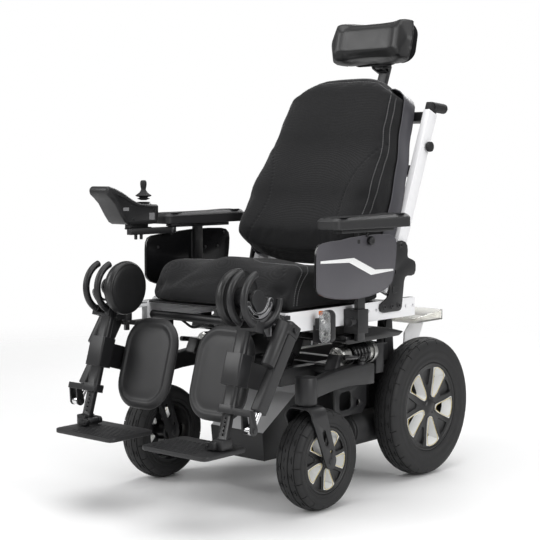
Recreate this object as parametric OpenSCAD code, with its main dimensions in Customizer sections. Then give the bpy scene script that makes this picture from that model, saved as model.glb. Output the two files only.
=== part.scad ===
// Power wheelchair: powered base with sprung front casters, tilting seat,
// reclining back, height-adjustable arms and two lifting legrests.
// The chair faces -Y, the user's left is +X and the floor is z = 0.

/* [Wheels] */
// Distance from the drive axle to the caster axle
wheel_base = 452; // [376:1:543]
// Outer radius of a drive tyre
drive_r = 175; // [160:1:190]
// Width of a drive tyre
drive_w = 66; // [50:1:72]
// Outer radius of a drive rim
drive_rim_r = 112; // [90:1:125]
// Distance between the drive wheels' middle planes
drive_track = 456; // [450:1:520]
// Outer radius of a caster tyre
caster_r = 117; // [97:1:125]
// Width of a caster tyre
caster_w = 70; // [50:1:80]
// Outer radius of a caster rim
caster_rim_r = 77; // [60:1:85]
// Distance between the caster swivel axes
caster_track = 500; // [490:1:600]
// Setback of the caster axle behind its swivel axis
caster_trail = 40; // [30:1:50]
// Number of spokes in each rim
spokes = 5; // [3:1:8]
// Diameter of the caster wheel axle
axle_d = 16; // [12:1:20]
// Thickness of the fork plate
fork_t = 5; // [4:0.5:8]

/* [Base] */
// Width of the battery box
box_w = 168; // [150:1:172]
// Height of the battery box above the floor
box_bottom = 84; // [70:1:100]
// Height of the battery box's lid above the floor
box_top = 256; // [240:1:258]
// Wall of the battery box
box_wall = 3; // [2:0.5:5]
// Width of a chassis tube
tube_w = 24; // [20:1:30]
// Height of a chassis tube
tube_h = 40; // [30:1:40]
// Width of a swing arm
arm_beam_w = 27; // [22:1:32]
// Diameter of the swing arm's pivot pin
pivot_d = 18; // [14:1:22]
// Diameter of a drive motor
motor_d = 82; // [70:1:84]

/* [Seat] */
// Width over the outer faces of the seat rails
seat_w = 460; // [450:1:552]
// Length of the seat rails
rail_len = 504; // [480:1:560]
// Height of the seat rails
rail_h = 46; // [40:1:50]
// Thickness of the seat rails
rail_t = 20; // [16:1:24]
// Height of the seat rails' top above the floor
rail_top = 455; // [450:1:520]
// Thickness of the seat cushion
cushion_t = 104; // [80:1:125]
// Length of the seat cushion
cushion_len = 388; // [340:1:400]

/* [Back] */
// Lean of the back tubes from the vertical
back_lean = 22; // [10:1:30]
// Length of the back tubes
back_len = 488; // [460:1:600]
// Depth of a back tube
back_tube_d = 38; // [30:1:45]
// Thickness of a back tube
back_tube_t = 18; // [14:1:22]
// Height of the back cushion along the back
back_cushion_h = 530; // [480:1:620]
// Depth of the back cushion
back_cushion_t = 76; // [60:1:90]
// Height of the headrest pad
headrest_h = 118; // [90:1:140]
// Width of the headrest pad
headrest_w = 266; // [220:1:300]

/* [Arms] */
// Length of an arm pad
pad_len = 296; // [250:1:340]
// Width of an arm pad
pad_w = 66; // [50:1:80]
// Thickness of an arm pad
pad_t = 25; // [18:1:32]
// Height of the arm pads' top above the floor
pad_top = 662; // [640:1:720]

/* [Legrests] */
// Lean of the leg tubes from the vertical
leg_lean = 16.4; // [8:0.2:25]
// Length from the knee axis to the end of the leg tube
leg_len = 252; // [240:1:320]
// Length from the knee axis to the footplate
foot_reach = 322; // [310:1:400]
// Radius of the knee hoops
hoop_r = 58; // [50:1:64]
// Diameter of the hoop tubes
hoop_d = 16; // [12:1:16]
// Width of a calf pad
calf_w = 156; // [110:1:160]
// Height of a calf pad
calf_h = 198; // [150:1:215]
// Thickness of a calf pad
calf_t = 34; // [24:1:40]
// Length of a footplate, front to back
plate_len = 136; // [110:1:160]
// Thickness of a footplate
plate_t = 10; // [8:1:14]

/* [Fits] */
// Radial clearance of a pin or shaft in its bore
fit = 0.05; // [0.02:0.01:0.1]
// Gap between faces of pieces that move past each other
gap = 0.6; // [0.4:0.1:1.5]

/* [Hidden] */
$fn = 64;
SIDES = ["left", "right"];
PAIRED = ["swing_arm", "release_lever", "caster_fork", "caster_rim", "caster_tyre", "drive_rim",
    "drive_tyre", "arm_frame", "arm_pad", "legrest_hanger", "leg_tube", "knee_pad", "calf_pad",
    "foot_tube", "footplate", "leg_actuator_body", "leg_actuator_rod"];
SINGLE = ["chassis_frame", "battery_box", "batteries", "side_shrouds", "drive_motors",
    "suspension_springs", "seat_frame", "rail_brackets", "seat_cushion", "front_lights", "rear_tray",
    "tilt_actuator_body", "tilt_actuator_rod", "back_frame", "back_shell", "back_cushion",
    "push_handles", "headrest_post", "headrest_pad", "controller_arm", "controller_housing",
    "joystick_gimbal", "joystick", "power_button", "cables"];

// Fore-and-aft stations, measured from the middle of the chair
rail_front = -223;
rail_rear = rail_front + rail_len;
swivel_y = rail_front + 48;
caster_y = swivel_y + caster_trail;
drive_y = caster_y + wheel_base;
drive_x = drive_track / 2;
caster_x = caster_track / 2;
rail_x = seat_w / 2;
rail_bottom = rail_top - rail_h;
wheel_in = drive_x - drive_w / 2;

// Fork and swing arm
fork_side = caster_w / 2 + 1.5;
fork_crown = 2 * caster_r + 6;
stem_bottom = fork_crown + fork_t + gap + 2;
stem_top = stem_bottom + 62;
lug_foot = stem_top - 0.6;
stem_r = 25;
kingpin_r = 10;
beam_x = caster_x - 12;
pivot_y = 40;
pivot_z = 290;
spring_x = caster_x - 34;
spring_z = 335;
spring_front = -28;
spring_rear = 110;
lever_x = beam_x + 17;
lever_y = 24;
lever_z = 330;

// Chassis
chassis_x = box_w / 2 + 16;
chassis_z = 262;
chassis_top = chassis_z + tube_h;
chassis_front = swivel_y + 75;
chassis_rear = drive_y + 63;
motor_x = chassis_x + tube_w / 2 + 34;
motor_z = 132;
motor_front = drive_y - 213;
gearbox_front = drive_y - 50;
gearbox_out = wheel_in - 9;
shaft_r = 12;
tilt_y = 250;
tilt_z = 388;
tilt_pin_r = 7;
tilt_x = 160;
motor_plate_x = wheel_in - 8;
motor_plate_front = 4;
tray_leg_x = 150;
tray_z = 381;
tray_rear = 460;

// Seat
seat_rest_z = rail_bottom - 22;
seat_clear_z = rail_bottom - 8;
cross_z = rail_bottom + 12;
cross_r = 10;

// Tilt actuator, between the seat's middle cross tube and the chassis
screw_x = 62;
screw_top = [20, 392];
screw_foot = [-48, 276];
screw_lean = atan2(screw_top[0] - screw_foot[0], screw_top[1] - screw_foot[1]);
screw_l = norm(screw_top - screw_foot);

// Back: the frame's own axes start at the recline pin and lean with the tubes
recline_y = 183;
recline_z = 481;
recline_pin_r = 6;
back_x = rail_x - 12;
bracket_t = 6;
bracket_x = rail_x + gap;
post_guide = [28, 16];
guide_y = 46;
headrest_joint = [24, back_len + 137];
joint_pin_r = 5;

// Arms
post_y = 7;
post_w = 28;
post_t = 12;
post_x = rail_x + 32;
post_foot = 374;
panel_x = post_x + post_t / 2;
panel_t = 7;
pad_x = rail_x + 37;
pad_front = -128;

// Controller, on the right arm
stick_x = -(rail_x + 38);
stick_y = -178;
stick_z = 694;
bar_x = -(rail_x + 20);
bar_z = 622;
bar_pivot_y = -98;
spoke_turn = 99;
button_r = 6;

// Legrests: the leg's own axes start at the knee axis and lean with the tube
knee_y = -325;
knee_z = 495;
leg_x = rail_x - 13;
swing_x = rail_x + 12;
swing_y = -262;
swing_pin_r = 7;
knee_pin_r = 8;
act_x = rail_x + 45;
act_top = [-262, 425];
act_foot = [-393, 225];
act_lean = atan2(act_top[0] - act_foot[0], act_top[1] - act_foot[1]);
act_l = norm(act_top - act_foot);
act_pin_r = 5;
calf_gap = 39;
calf_y = 84;
calf_z = -164;
calf_mid = (leg_x - 20 + calf_gap) / 2;
calf_pin_y = calf_y + 18;
calf_pin_r = 5;
foot_tip = [knee_y - foot_reach * sin(leg_lean), knee_z - foot_reach * cos(leg_lean)];
flip_x = leg_x - 21;
flip_z = foot_tip[1] + 3;
flip_r = 8;
flip_pin_r = 4;
plate_inner = 46;

// Cables: points of the loom and of the loop that hangs beside it
cable_r = 3;
loom_route = [[-150, -196, 424], [-120, -192, 410], [-92, -188, 396], [-62, -190, 402], [-36, -194, 416],
    [-8, -196, 421]];
loop_route = [[10, -188, 421], [34, -184, 404], [62, -182, 392], [92, -184, 393], [118, -188, 406],
    [140, -190, 423]];

// A point on an arc
function at(c, r, a) = c + r * [cos(a), sin(a)];

// A row of points along an arc
function arc(c, r, a0, a1, n = 6) = [for (i = [0:n]) at(c, r, a0 + (a1 - a0) * i / n)];

// Flat plate drawn in the YZ plane, from x to x + t
module side_plate(x, t) {
    translate([x, 0, 0]) rotate([90, 0, 90]) linear_extrude(t) children();
}

// Shape drawn in the XZ plane, from y to y + t
module front_plate(y, t) {
    translate([0, y + t, 0]) rotate([90, 0, 0]) linear_extrude(t) children();
}

// Round bar between two points
module bar(p, q, d) {
    v = q - p;
    l = norm(v);
    translate(p) rotate([0, acos(v[2] / l), atan2(v[1], v[0])]) cylinder(h = l, d = d);
}

// Cylinder along X, from x to x + l, on the line y, z
module pin_x(x, l, y, z, r) {
    translate([x, y, z]) rotate([0, 90, 0]) cylinder(h = l, r = r);
}

// Cylinder along Y, from y to y + l, on the line x, z
module pin_y(y, l, x, z, r) {
    translate([x, y, z]) rotate([-90, 0, 0]) cylinder(h = l, r = r);
}

// Rectangle with round corners, centred
module rounded(size, r) {
    square([size[0], size[1] - 2 * r], center = true);
    square([size[0] - 2 * r, size[1]], center = true);
    for (sx = [-1, 1], sy = [-1, 1]) translate([sx * (size[0] / 2 - r), sy * (size[1] / 2 - r)]) circle(r);
}

// Slot, centred, with its length along the first axis
module slot(l, w) {
    square([l - w, w], center = true);
    for (s = [-1, 1]) translate([s * (l - w) / 2, 0]) circle(w / 2);
}

// Part of a ring, with round ends
module sector(r_in, r_out, a0, a1) {
    intersection() {
        difference() {
            circle(r_out);
            circle(r_in);
        }
        polygon(concat([[0, 0]], arc([0, 0], 2 * r_out, a0, a1, 8)));
    }
    for (a = [a0, a1]) translate(at([0, 0], (r_in + r_out) / 2, a)) circle((r_out - r_in) / 2 - 0.4);
}

// Block with round vertical edges, standing on z
module block(c, size, r) {
    translate([c[0], c[1], c[2]]) linear_extrude(size[2]) rounded([size[0], size[1]], r);
}

// Puts a left-hand piece on the side that is asked for
module on_side(side) {
    if (side == "left") children();
    else mirror([1, 0, 0]) children();
}

module both_sides() {
    children();
    mirror([1, 0, 0]) children();
}

module leg_axes() {
    translate([0, knee_y, knee_z]) rotate([-leg_lean, 0, 0]) children();
}

module back_axes() {
    translate([0, recline_y, recline_z]) rotate([-back_lean, 0, 0]) children();
}

// ---- Wheels ----

module tyre(r, rim_r, w, shoulder) {
    rotate([0, 90, 0]) rotate_extrude($fn = 96) difference() {
        union() {
            translate([rim_r, -w / 2 + shoulder]) square([r - rim_r, w - 2 * shoulder]);
            for (s = [-1, 1]) translate([r - shoulder, s * (w / 2 - shoulder)]) circle(shoulder);
            translate([rim_r, -w / 2 + 8]) square([r - shoulder - rim_r, w - 16]);
        }
        translate([0, -w]) square([rim_r, 2 * w]);
    }
}

// One spoke, narrow at the hub and wide at the barrel, drawn along the first axis
module spoke(r, half) {
    polygon([[0, -half * 0.8], [r, -half * 1.5], [r, half * 1.5], [0, half * 0.8]]);
}

module rim(r, w, hub_r, bore_r, spoke_half) {
    barrel = 8;
    difference() {
        union() {
            rotate([0, 90, 0]) rotate_extrude($fn = 96) {
                translate([r - barrel, -w / 2]) square([barrel, w]);
            }
            pin_x(-w / 2, w, 0, 0, hub_r);
            side_plate(-w * 0.12, w * 0.5) {
                for (i = [0:spokes - 1]) rotate(spoke_turn + i * 360 / spokes) spoke(r - barrel / 2, spoke_half);
            }
        }
        pin_x(-w, 2 * w, 0, 0, bore_r);
    }
}

module caster_axes() {
    translate([caster_x, caster_y, caster_r]) children();
}

module drive_axes() {
    translate([drive_x, drive_y, drive_r]) children();
}

module caster_tyre(side) color("#26262a") on_side(side) caster_axes() {
    tyre(caster_r, caster_rim_r, caster_w, 24);
}

module caster_rim(side) color("#1f1f22") on_side(side) caster_axes() {
    rim(caster_rim_r, caster_w - 14, 20, axle_d / 2 + fit, 8);
}

module drive_tyre(side) color("#26262a") on_side(side) drive_axes() {
    tyre(drive_r, drive_rim_r, drive_w, 24);
}

module drive_rim(side) color("#1f1f22") on_side(side) drive_axes() {
    rim(drive_rim_r, drive_w - 10, 26, 4, 10);
    difference() {
        pin_x(gearbox_out - 40 - drive_x, drive_x - gearbox_out + 40 - drive_w / 2 + 8, 0, 0, shaft_r);
        pin_x(-drive_w, 2 * drive_w, 0, 0, 4);
    }
}

// ---- Base ----

// Outline of a fork leg: crown above, axle boss below
module fork_outline() {
    polygon([[swivel_y - 26, fork_crown + fork_t + 30], [swivel_y + 26, fork_crown + fork_t + 30],
        [swivel_y + 26, fork_crown - 20], [caster_y + 18, caster_r + 12], [caster_y - 17, caster_r - 8],
        [swivel_y - 26, fork_crown - 20]]);
    translate([caster_y, caster_r]) circle(19);
}

// Bent plate seen from the front
module fork_bend() {
    w = 2 * (fork_side + fork_t);
    h = fork_crown + fork_t - caster_r + 40;
    difference() {
        translate([caster_x, fork_crown + fork_t - h / 2]) rounded([w, h], 24);
        translate([caster_x, fork_crown - h / 2]) rounded([2 * fork_side, h], 20);
    }
}

module caster_fork(side) color("#232326") on_side(side) {
    difference() {
        intersection() {
            front_plate(swivel_y - 60, 160) fork_bend();
            side_plate(caster_x - 60, 120) difference() {
                fork_outline();
                translate([(swivel_y + caster_y) / 2 - 1, caster_r + 56]) rotate(-68) slot(40, 13);
                translate([caster_y + 1, caster_r + 22]) circle(4);
            }
        }
        pin_x(caster_x - 60, 120, caster_y, caster_r, axle_d / 2 - 2);
    }
    translate([caster_x, swivel_y, fork_crown + fork_t - 1]) cylinder(h = stem_top - fork_crown - fork_t - 6, r = kingpin_r);
    translate([caster_x, swivel_y, fork_crown + fork_t - 1]) cylinder(h = 3, r = kingpin_r + 6);
    pin_x(caster_x - fork_side, 2 * fork_side, caster_y, caster_r, axle_d / 2);
    both_ends() pin_x(fork_side + fork_t - 1, 4, caster_y, caster_r, 8);
}

// The same piece at each end of the caster axle
module both_ends() {
    translate([caster_x, 0, 0]) children();
    translate([caster_x, 0, 0]) mirror([1, 0, 0]) children();
}

module swing_arm(side) color("#2e2e31") on_side(side) {
    rear = pivot_y + 24;
    difference() {
        union() {
            translate([caster_x, swivel_y, stem_bottom]) cylinder(h = stem_top - stem_bottom, r = stem_r);
            side_plate(beam_x, arm_beam_w) polygon(concat(
                [[swivel_y, stem_bottom + 9], [swivel_y, stem_top - 12]],
                [for (i = [1:7]) [swivel_y + (rear - swivel_y) * i / 7, stem_top - 12 + 19 * sin(i * 17)]],
                [[rear, pivot_z - 24]],
                [for (i = [6:-1:1]) [swivel_y + (rear - swivel_y) * i / 7, stem_bottom + 9 + 15 * sin(i * 22)]]));
            side_plate(beam_x, arm_beam_w) translate([pivot_y, pivot_z]) circle(20);
            pin_x(beam_x - 8, 10, pivot_y, pivot_z, 20);
            // Lug that carries the front of the spring
            side_plate(spring_x - 6, beam_x - spring_x + 12) polygon([[spring_front - 34, lug_foot],
                [spring_front - 14, lug_foot - 4], [spring_front - 8, spring_z + 6], [spring_front - 16, spring_z + 10]]);
            // Post that carries the lever
            translate([lever_x, lever_y, lug_foot - 9]) cylinder(h = lever_z - lug_foot + 3, r = 9);
        }
        translate([caster_x, swivel_y, stem_bottom - 1]) cylinder(h = stem_top - stem_bottom - 3, r = kingpin_r + fit);
        pin_x(beam_x - 20, arm_beam_w + 13, pivot_y, pivot_z, pivot_d / 2 + fit);
        translate([lever_x, lever_y, lever_z - 16]) cylinder(h = 20, r = 3 + fit);
    }
}

module release_lever(side) color("#151517") on_side(side) {
    translate([lever_x, lever_y, lever_z - 15]) cylinder(h = 20, r = 3);
    translate([lever_x, lever_y, lever_z - 6 + gap]) cylinder(h = 12, r = 9);
    bar([lever_x, lever_y, lever_z + 2], [lever_x + 4, lever_y - 38, lever_z + 6], 7);
    bar([lever_x + 2.5, lever_y - 24, lever_z + 4.5], [lever_x + 8, lever_y - 78, lever_z + 11], 13);
}

module suspension_springs() color("#8f9296") both_sides() {
    pitch = 13;
    pin_y(spring_front - 6, 20, spring_x, spring_z, 13);
    pin_y(spring_front + 6, 38, spring_x, spring_z, 24);
    pin_y(spring_front + 40, spring_rear - spring_front - 40, spring_x, spring_z, 16);
    for (i = [0:4]) translate([spring_x, spring_front + 52 + i * pitch, spring_z]) rotate([90, 0, 0]) {
        rotate_extrude() translate([22, 0]) circle(5.6);
    }
    pin_y(spring_rear - 12, 12, spring_x, spring_z, 27);
}

module chassis_frame() color("#1b1b1d") {
    block_front = spring_rear + 0.5;
    difference() {
        union() {
            both_sides() {
                // Long tube, motor plate with its web, and the block behind the spring
                translate([chassis_x - tube_w / 2, chassis_front, chassis_z]) cube([tube_w, chassis_rear - chassis_front, tube_h]);
                translate([chassis_x, motor_plate_front, chassis_z - 6]) cube([motor_plate_x + 5 - chassis_x, 126, 6]);
                side_plate(motor_plate_x, 5) difference() {
                    motor_plate_outline();
                    translate([motor_plate_front + 42, 218]) rounded([46, 44], 12);
                }
                translate([chassis_x, block_front, chassis_z + 20]) cube([spring_x + 20 - chassis_x, 30, 74]);
                translate([chassis_x, block_front + 20, chassis_z + 38]) cube([wheel_in - 6 - chassis_x, 92, 42]);
                // Hanger of the gearbox
                translate([chassis_x, gearbox_front + 10, chassis_z - 34]) cube([gearbox_out - chassis_x - 6, 76, 40]);
                // Tower of the tilt pin
                side_plate(tilt_x - 14, 6) tower_outline();
                side_plate(tilt_x + 8, 6) tower_outline();
                translate([chassis_x, tilt_y - 22, chassis_top - 12]) cube([tilt_x + 14 - chassis_x, 44, 8]);
                // Seat rest
                translate([chassis_x - 10, chassis_front + 6, chassis_top - 1]) cube([20, 20, seat_rest_z - chassis_top + 1]);
                // Bracket that carries the tray
                side_plate(tray_leg_x, 5) polygon([[chassis_rear - 40, chassis_z + 6], [chassis_rear - 4, chassis_z + 6],
                    [tray_rear - 24, tray_z], [tray_rear - 84, tray_z], [chassis_rear - 34, chassis_top + 50]]);
                translate([chassis_x, chassis_rear - 30, chassis_z + 8]) cube([tray_leg_x + 3 - chassis_x, 24, 10]);
            }
            for (y = [chassis_front, 150, chassis_rear - tube_w]) {
                translate([-chassis_x, y, chassis_z]) cube([2 * chassis_x, tube_w, tube_h]);
            }
            pin_x(-beam_x + 9, 2 * beam_x - 18, pivot_y, pivot_z, 15);
            pin_x(-beam_x - arm_beam_w + 9, 2 * beam_x + 2 * arm_beam_w - 18, pivot_y, pivot_z, pivot_d / 2);
            both_sides() pin_x(tilt_x - 14, 28, tilt_y, tilt_z, tilt_pin_r);
            // Lugs for the foot of the tilt actuator
            for (dx = [-17, 12]) side_plate(screw_x + dx, 5) polygon([[screw_foot[0] - 30, chassis_z],
                [screw_foot[0] + 16, chassis_z], [screw_foot[0] + 10, screw_foot[1] + 12], [screw_foot[0] - 10, screw_foot[1] + 12]]);
        }
        both_sides() pin_x(motor_plate_x - 10, 30, motor_plate_front + 92, 208, 8);
    }
}

module motor_plate_outline() {
    f = motor_plate_front;
    polygon([[f + 16, 181], [f + 110, 181], [f + 126, 200], [f + 126, chassis_z], [f, chassis_z], [f, 196]]);
}

module tower_outline() {
    polygon([[tilt_y - 22, chassis_top - 12], [tilt_y + 22, chassis_top - 12], [tilt_y + 13, tilt_z], [tilt_y - 13, tilt_z]]);
    translate([tilt_y, tilt_z]) circle(13);
}

// Side view of the battery box: upright foot, sloping front, flat lid
module box_outline(inset) {
    front = swivel_y + 41 + inset;
    rear = chassis_rear - 4 - inset;
    polygon([[front + 8, box_bottom + inset], [rear - 30, box_bottom + inset], [rear, box_bottom + 30 + inset],
        [rear, box_top - inset], [front + 130, box_top - inset], [front + 122, box_top - 24 - inset], [front, box_bottom + 68]]);
}

module battery_box() color("#3c3d40") {
    difference() {
        side_plate(-box_w / 2, box_w) box_outline(0);
        side_plate(-box_w / 2 + box_wall, box_w - 2 * box_wall) box_outline(box_wall);
    }
}

module batteries() color("#55585c") {
    inner = box_w - 2 * box_wall - 4;
    start = swivel_y + 41 + 140;
    pitch = (chassis_rear - 36 - box_wall - start) / 2;
    for (i = [0, 1]) {
        translate([-inner / 2, start + i * pitch, box_bottom + box_wall + 6]) cube([inner, pitch - 4, box_top - box_bottom - 2 * box_wall - 14]);
        for (s = [-1, 1]) {
            translate([s * inner / 4, start + i * pitch + pitch / 2, box_top - box_wall - 9]) cylinder(h = 7, r = 8);
        }
    }
}

module side_shrouds() color("#141416") both_sides() {
    front = -30;
    rear = 205;
    side_plate(chassis_x + 6, caster_x - 6 - chassis_x) polygon([[front, 372], [front + 12, 366], [rear - 20, 368], [rear, 377],
        [rear - 60, 391], [rear - 126, seat_clear_z], [rear - 150, seat_clear_z - 2], [rear - 174, 388], [front + 4, 386]]);
}

module drive_motors() color("#2a2b2e") both_sides() difference() {
    union() {
        pin_y(motor_front, gearbox_front - motor_front + 4, motor_x, motor_z, motor_d / 2);
        pin_y(motor_front - 4, 6, motor_x, motor_z, motor_d / 2 - 6);
        side_plate(chassis_x - 2, gearbox_out - chassis_x + 2) {
            translate([drive_y, (motor_z + drive_r) / 2 + 4]) rounded([100, drive_r - motor_z + 2 * 46], 18);
        }
    }
    pin_x(gearbox_out - 42, 50, drive_y, drive_r, shaft_r + fit);
}

// ---- Seat ----

module rail_holes(d) {
    for (y = [86, 117, 241, 271]) translate([y, rail_top - 20]) circle(d / 2);
}

module seat_frame() color("#e9e9ea") {
    difference() {
        union() {
            both_sides() {
                translate([rail_x - rail_t, rail_front, rail_bottom]) cube([rail_t, rail_len, rail_h]);
                // Receiver of the swing-away legrest
                for (z = [398, 440]) difference() {
                    union() {
                        translate([swing_x, swing_y, z]) cylinder(h = 10, r = 13);
                        translate([rail_x - rail_t, swing_y, z]) cube([swing_x - rail_x + rail_t - 4, rail_front + 8 - swing_y, 10]);
                    }
                    translate([swing_x, swing_y, z - 1]) cylinder(h = 12, r = swing_pin_r + fit);
                }
                // Lug on the tilt pin
                difference() {
                    union() {
                        side_plate(tilt_x - 7, 14) polygon([[tilt_y - 14, tilt_z], [tilt_y + 14, tilt_z],
                            [tilt_y + 16, cross_z + 4], [tilt_y - 16, cross_z + 4]]);
                        pin_x(tilt_x - 7, 14, tilt_y, tilt_z, 14);
                    }
                    pin_x(tilt_x - 10, 20, tilt_y, tilt_z, tilt_pin_r + fit);
                }
            }
            for (y = [rail_front + 18, screw_top[0], tilt_y]) {
                pin_x(-rail_x + 2, 2 * rail_x - 4, y, cross_z, cross_r);
            }
            translate([-rail_x + 4, rail_front + 6, rail_top - 4]) cube([2 * rail_x - 8, cushion_len, 4]);
            // Foot that stands on the chassis
            both_sides() translate([chassis_x - 10, chassis_front + 6, seat_rest_z + gap]) cube([20, 20, rail_top - 4 - seat_rest_z]);
            // Clevis of the tilt actuator
            for (dx = [-24, 18]) side_plate(screw_x + dx, 6) {
                polygon([[screw_top[0] - 12, screw_top[1]], [screw_top[0] + 12, screw_top[1]],
                    [screw_top[0] + 12, cross_z], [screw_top[0] - 12, cross_z]]);
                translate([screw_top[0], screw_top[1]]) circle(12);
            }
            pin_x(screw_x - 24, 48, screw_top[0], screw_top[1], act_pin_r);
        }
        both_sides() side_plate(rail_x - rail_t - 5, rail_t + 20) rail_holes(7);
    }
}

// Plates and sockets that bolt to the outside of the rails
module rail_brackets() color("#26272a") both_sides() {
    difference() {
        union() {
            side_plate(bracket_x, bracket_t) back_bracket_outline();
            for (y = [126, 158, 187]) pin_x(bracket_x + bracket_t - 1, 5, y, rail_top - 15, 6);
            pin_x(bracket_x + bracket_t - 1, 5, 196, 588, 6);
            pin_x(back_x - back_tube_t / 2 - 6, bracket_x - back_x + back_tube_t / 2 + 12, recline_y, recline_z, recline_pin_r);
            // Socket of the arm post, on a block against the rail
            translate([rail_x + gap, post_y - post_w / 2 - 6, 392]) cube([post_x + post_t / 2 + 5 - rail_x - gap, post_w + 12, 56]);
        }
        translate([post_x - post_t / 2 - gap / 2, post_y - post_w / 2 - gap / 2, 380]) cube([post_t + gap, post_w + gap, 90]);
    }
    pin_y(post_y - post_w / 2 - 22, 16, post_x - 4, 420, 10);
}

module back_bracket_outline() {
    difference() {
        union() {
            polygon([[112, rail_top - 24], [196, rail_top - 24], [204, rail_top - 4], [222, 500], [258, 520], [260, 536],
                [226, 560], [212, 592], [200, 606], [184, 600], [168, 574], [152, 500], [134, 476], [110, 458], [106, rail_top - 14]]);
        }
        translate([176, 524]) circle(5);
    }
}

module seat_cushion() color("#1c1c1f") {
    front = rail_front + 3;
    back = front + cushion_len;
    bottom = rail_top + gap;
    top = bottom + cushion_t;
    intersection() {
        side_plate(-rail_x, 2 * rail_x) polygon(concat(
            arc([front + 24, bottom + 24], 24, 180, 270),
            [[back, bottom], [back, top - 38], [back - 60, top - 26], [back - 200, top - 6]],
            arc([front + 52, top - 52], 52, 84, 180)));
        translate([0, (front + back) / 2, bottom - 1]) linear_extrude(cushion_t + 2) rounded([2 * rail_x - 16, cushion_len], 40);
    }
}

module front_lights() color("#d7dadd") both_sides() {
    x = rail_x + 40;
    translate([x, -124, 420]) rotate([90, 0, 0]) linear_extrude(24, center = true) rounded([30, 74], 14);
    block([rail_x + 22, -120, 424], [30, 18, 26], 4);
    block([rail_x + 12, -120, 400], [22, 14, 40], 3);
}

module rear_tray() color("#cfd3cf", 0.6) {
    front = tray_rear - 135;
    half = 200;
    difference() {
        translate([0, (front + tray_rear) / 2, tray_z + 0.2]) linear_extrude(26) rounded([2 * half, 135], 12);
        translate([0, (front + tray_rear) / 2, tray_z + 4.2]) linear_extrude(30) rounded([2 * half - 8, 127], 9);
        // The rim slopes down towards the front
        side_plate(-half - 5, 2 * half + 10) polygon([[front - 5, tray_z + 12], [tray_rear + 5, tray_z + 27],
            [tray_rear + 5, tray_z + 60], [front - 5, tray_z + 60]]);
    }
}

module screw_axes() {
    translate([screw_x, screw_top[0], screw_top[1]]) rotate([-screw_lean, 0, 0]) children();
}

// The head hangs on the seat's cross tube, and the screw leaves it downwards
module tilt_actuator_body() color("#18181a") screw_axes() difference() {
    union() {
        pin_x(-17, 34, 0, 0, 10);
        block([0, 0, -70], [34, 52, 66], 5);
        block([0, -4, -96], [30, 30, 30], 6);
        translate([0, 14, -100]) cylinder(h = 34, r = 12);
    }
    pin_x(-30, 60, 0, 0, act_pin_r + fit);
    translate([0, -4, -130]) cylinder(h = 118, r = 8 + fit);
}

module tilt_actuator_rod() color("#a9adb0") screw_axes() {
    translate([0, -4, -screw_l + 11]) cylinder(h = screw_l - 26, r = 8);
    difference() {
        union() {
            pin_x(-11, 22, 0, -screw_l, 9);
            translate([-7, -10, -screw_l]) cube([14, 18, 14]);
        }
        pin_x(-20, 40, 0, -screw_l, act_pin_r + 1);
    }
}

// ---- Back ----

module back_frame() color("#e9e9ea") back_axes() {
    difference() {
        union() {
            both_sides() translate([back_x - back_tube_t / 2, -back_tube_d / 2, -16]) cube([back_tube_t, back_tube_d, back_len]);
            for (z = [120, 300, back_len - 42]) {
                translate([-back_x, -4, z]) cube([2 * back_x, 18, 26]);
            }
            // Guide of the headrest post
            translate([-24, 12, back_len - 190]) cube([48, guide_y + post_guide[1] + 8 - 12, 174]);
        }
        both_sides() pin_x(back_x - back_tube_t, 2 * back_tube_t, 0, 0, recline_pin_r + fit);
        translate([-post_guide[0] / 2, guide_y, back_len - 200]) cube([post_guide[0], post_guide[1], 200]);
    }
}

module back_shell() color("#4a4c50") back_axes() {
    w = 2 * back_x - 4;
    front_plate(-back_tube_d / 2 - 16, 15) union() {
        translate([0, back_cushion_h / 2 + 14]) rounded([w, back_cushion_h - 44], 50);
    }
}

module back_cushion() color("#1c1c1f") back_axes() {
    y0 = -back_tube_d / 2 - 16 - back_cushion_t;
    intersection() {
        front_plate(y0 - 40, back_cushion_t + 39.4) polygon(concat(
            [[-back_x + 4, 70], [-back_x + 24, 36], [back_x - 24, 36], [back_x - 4, 70], [back_x + 6, 210]],
            [[back_x - 14, back_cushion_h - 150]],
            arc([back_x - 78, back_cushion_h - 34], 56, 20, 90),
            arc([-back_x + 78, back_cushion_h - 34], 56, 90, 160),
            [[-back_x + 14, back_cushion_h - 150], [-back_x - 6, 210]]));
        side_plate(-rail_x - 20, 2 * rail_x + 40) polygon([[y0 - 32, 30], [y0 - 38, 90], [y0 - 24, 200], [y0, 360],
            [y0 + 6, back_cushion_h - 20], [y0 + 22, back_cushion_h + 22], [-back_tube_d / 2 - 17, back_cushion_h + 22],
            [-back_tube_d / 2 - 17, 30]]);
    }
}

module push_handles() color("#1a1a1c") back_axes() both_sides() {
    top = back_len - 16;
    translate([back_x - back_tube_t / 2, -back_tube_d / 2, top + gap]) cube([back_tube_t, back_tube_d, 20]);
    bar([back_x, 0, top + 13], [back_x, 66, top + 36], 26);
    bar([back_x, 50, top + 30], [back_x, 74, top + 39], 30);
    pin_x(back_x + back_tube_t / 2 + gap, 14, 8, back_len - 108, 13);
}

module headrest_post() color("#1e1e20") back_axes() {
    y = headrest_joint[0];
    z = headrest_joint[1];
    translate([-post_guide[0] / 2 + 0.4, guide_y + 0.4, back_len - 170]) {
        cube([post_guide[0] - 0.8, post_guide[1] - 0.8, z + 14 - back_len + 170]);
    }
    // Clevis in front of the post's head, with its pin and clamp knob
    for (x = [-18, 12]) side_plate(x, 6) {
        translate([y, z]) circle(12);
        translate([y, z - 12]) square([guide_y + 4 - y, 24]);
    }
    translate([-18, guide_y - 6, z - 12]) cube([36, 8, 26]);
    pin_x(-17, 34, y, z, joint_pin_r);
    pin_x(17.5, 16, y, z, 10);
}

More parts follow.
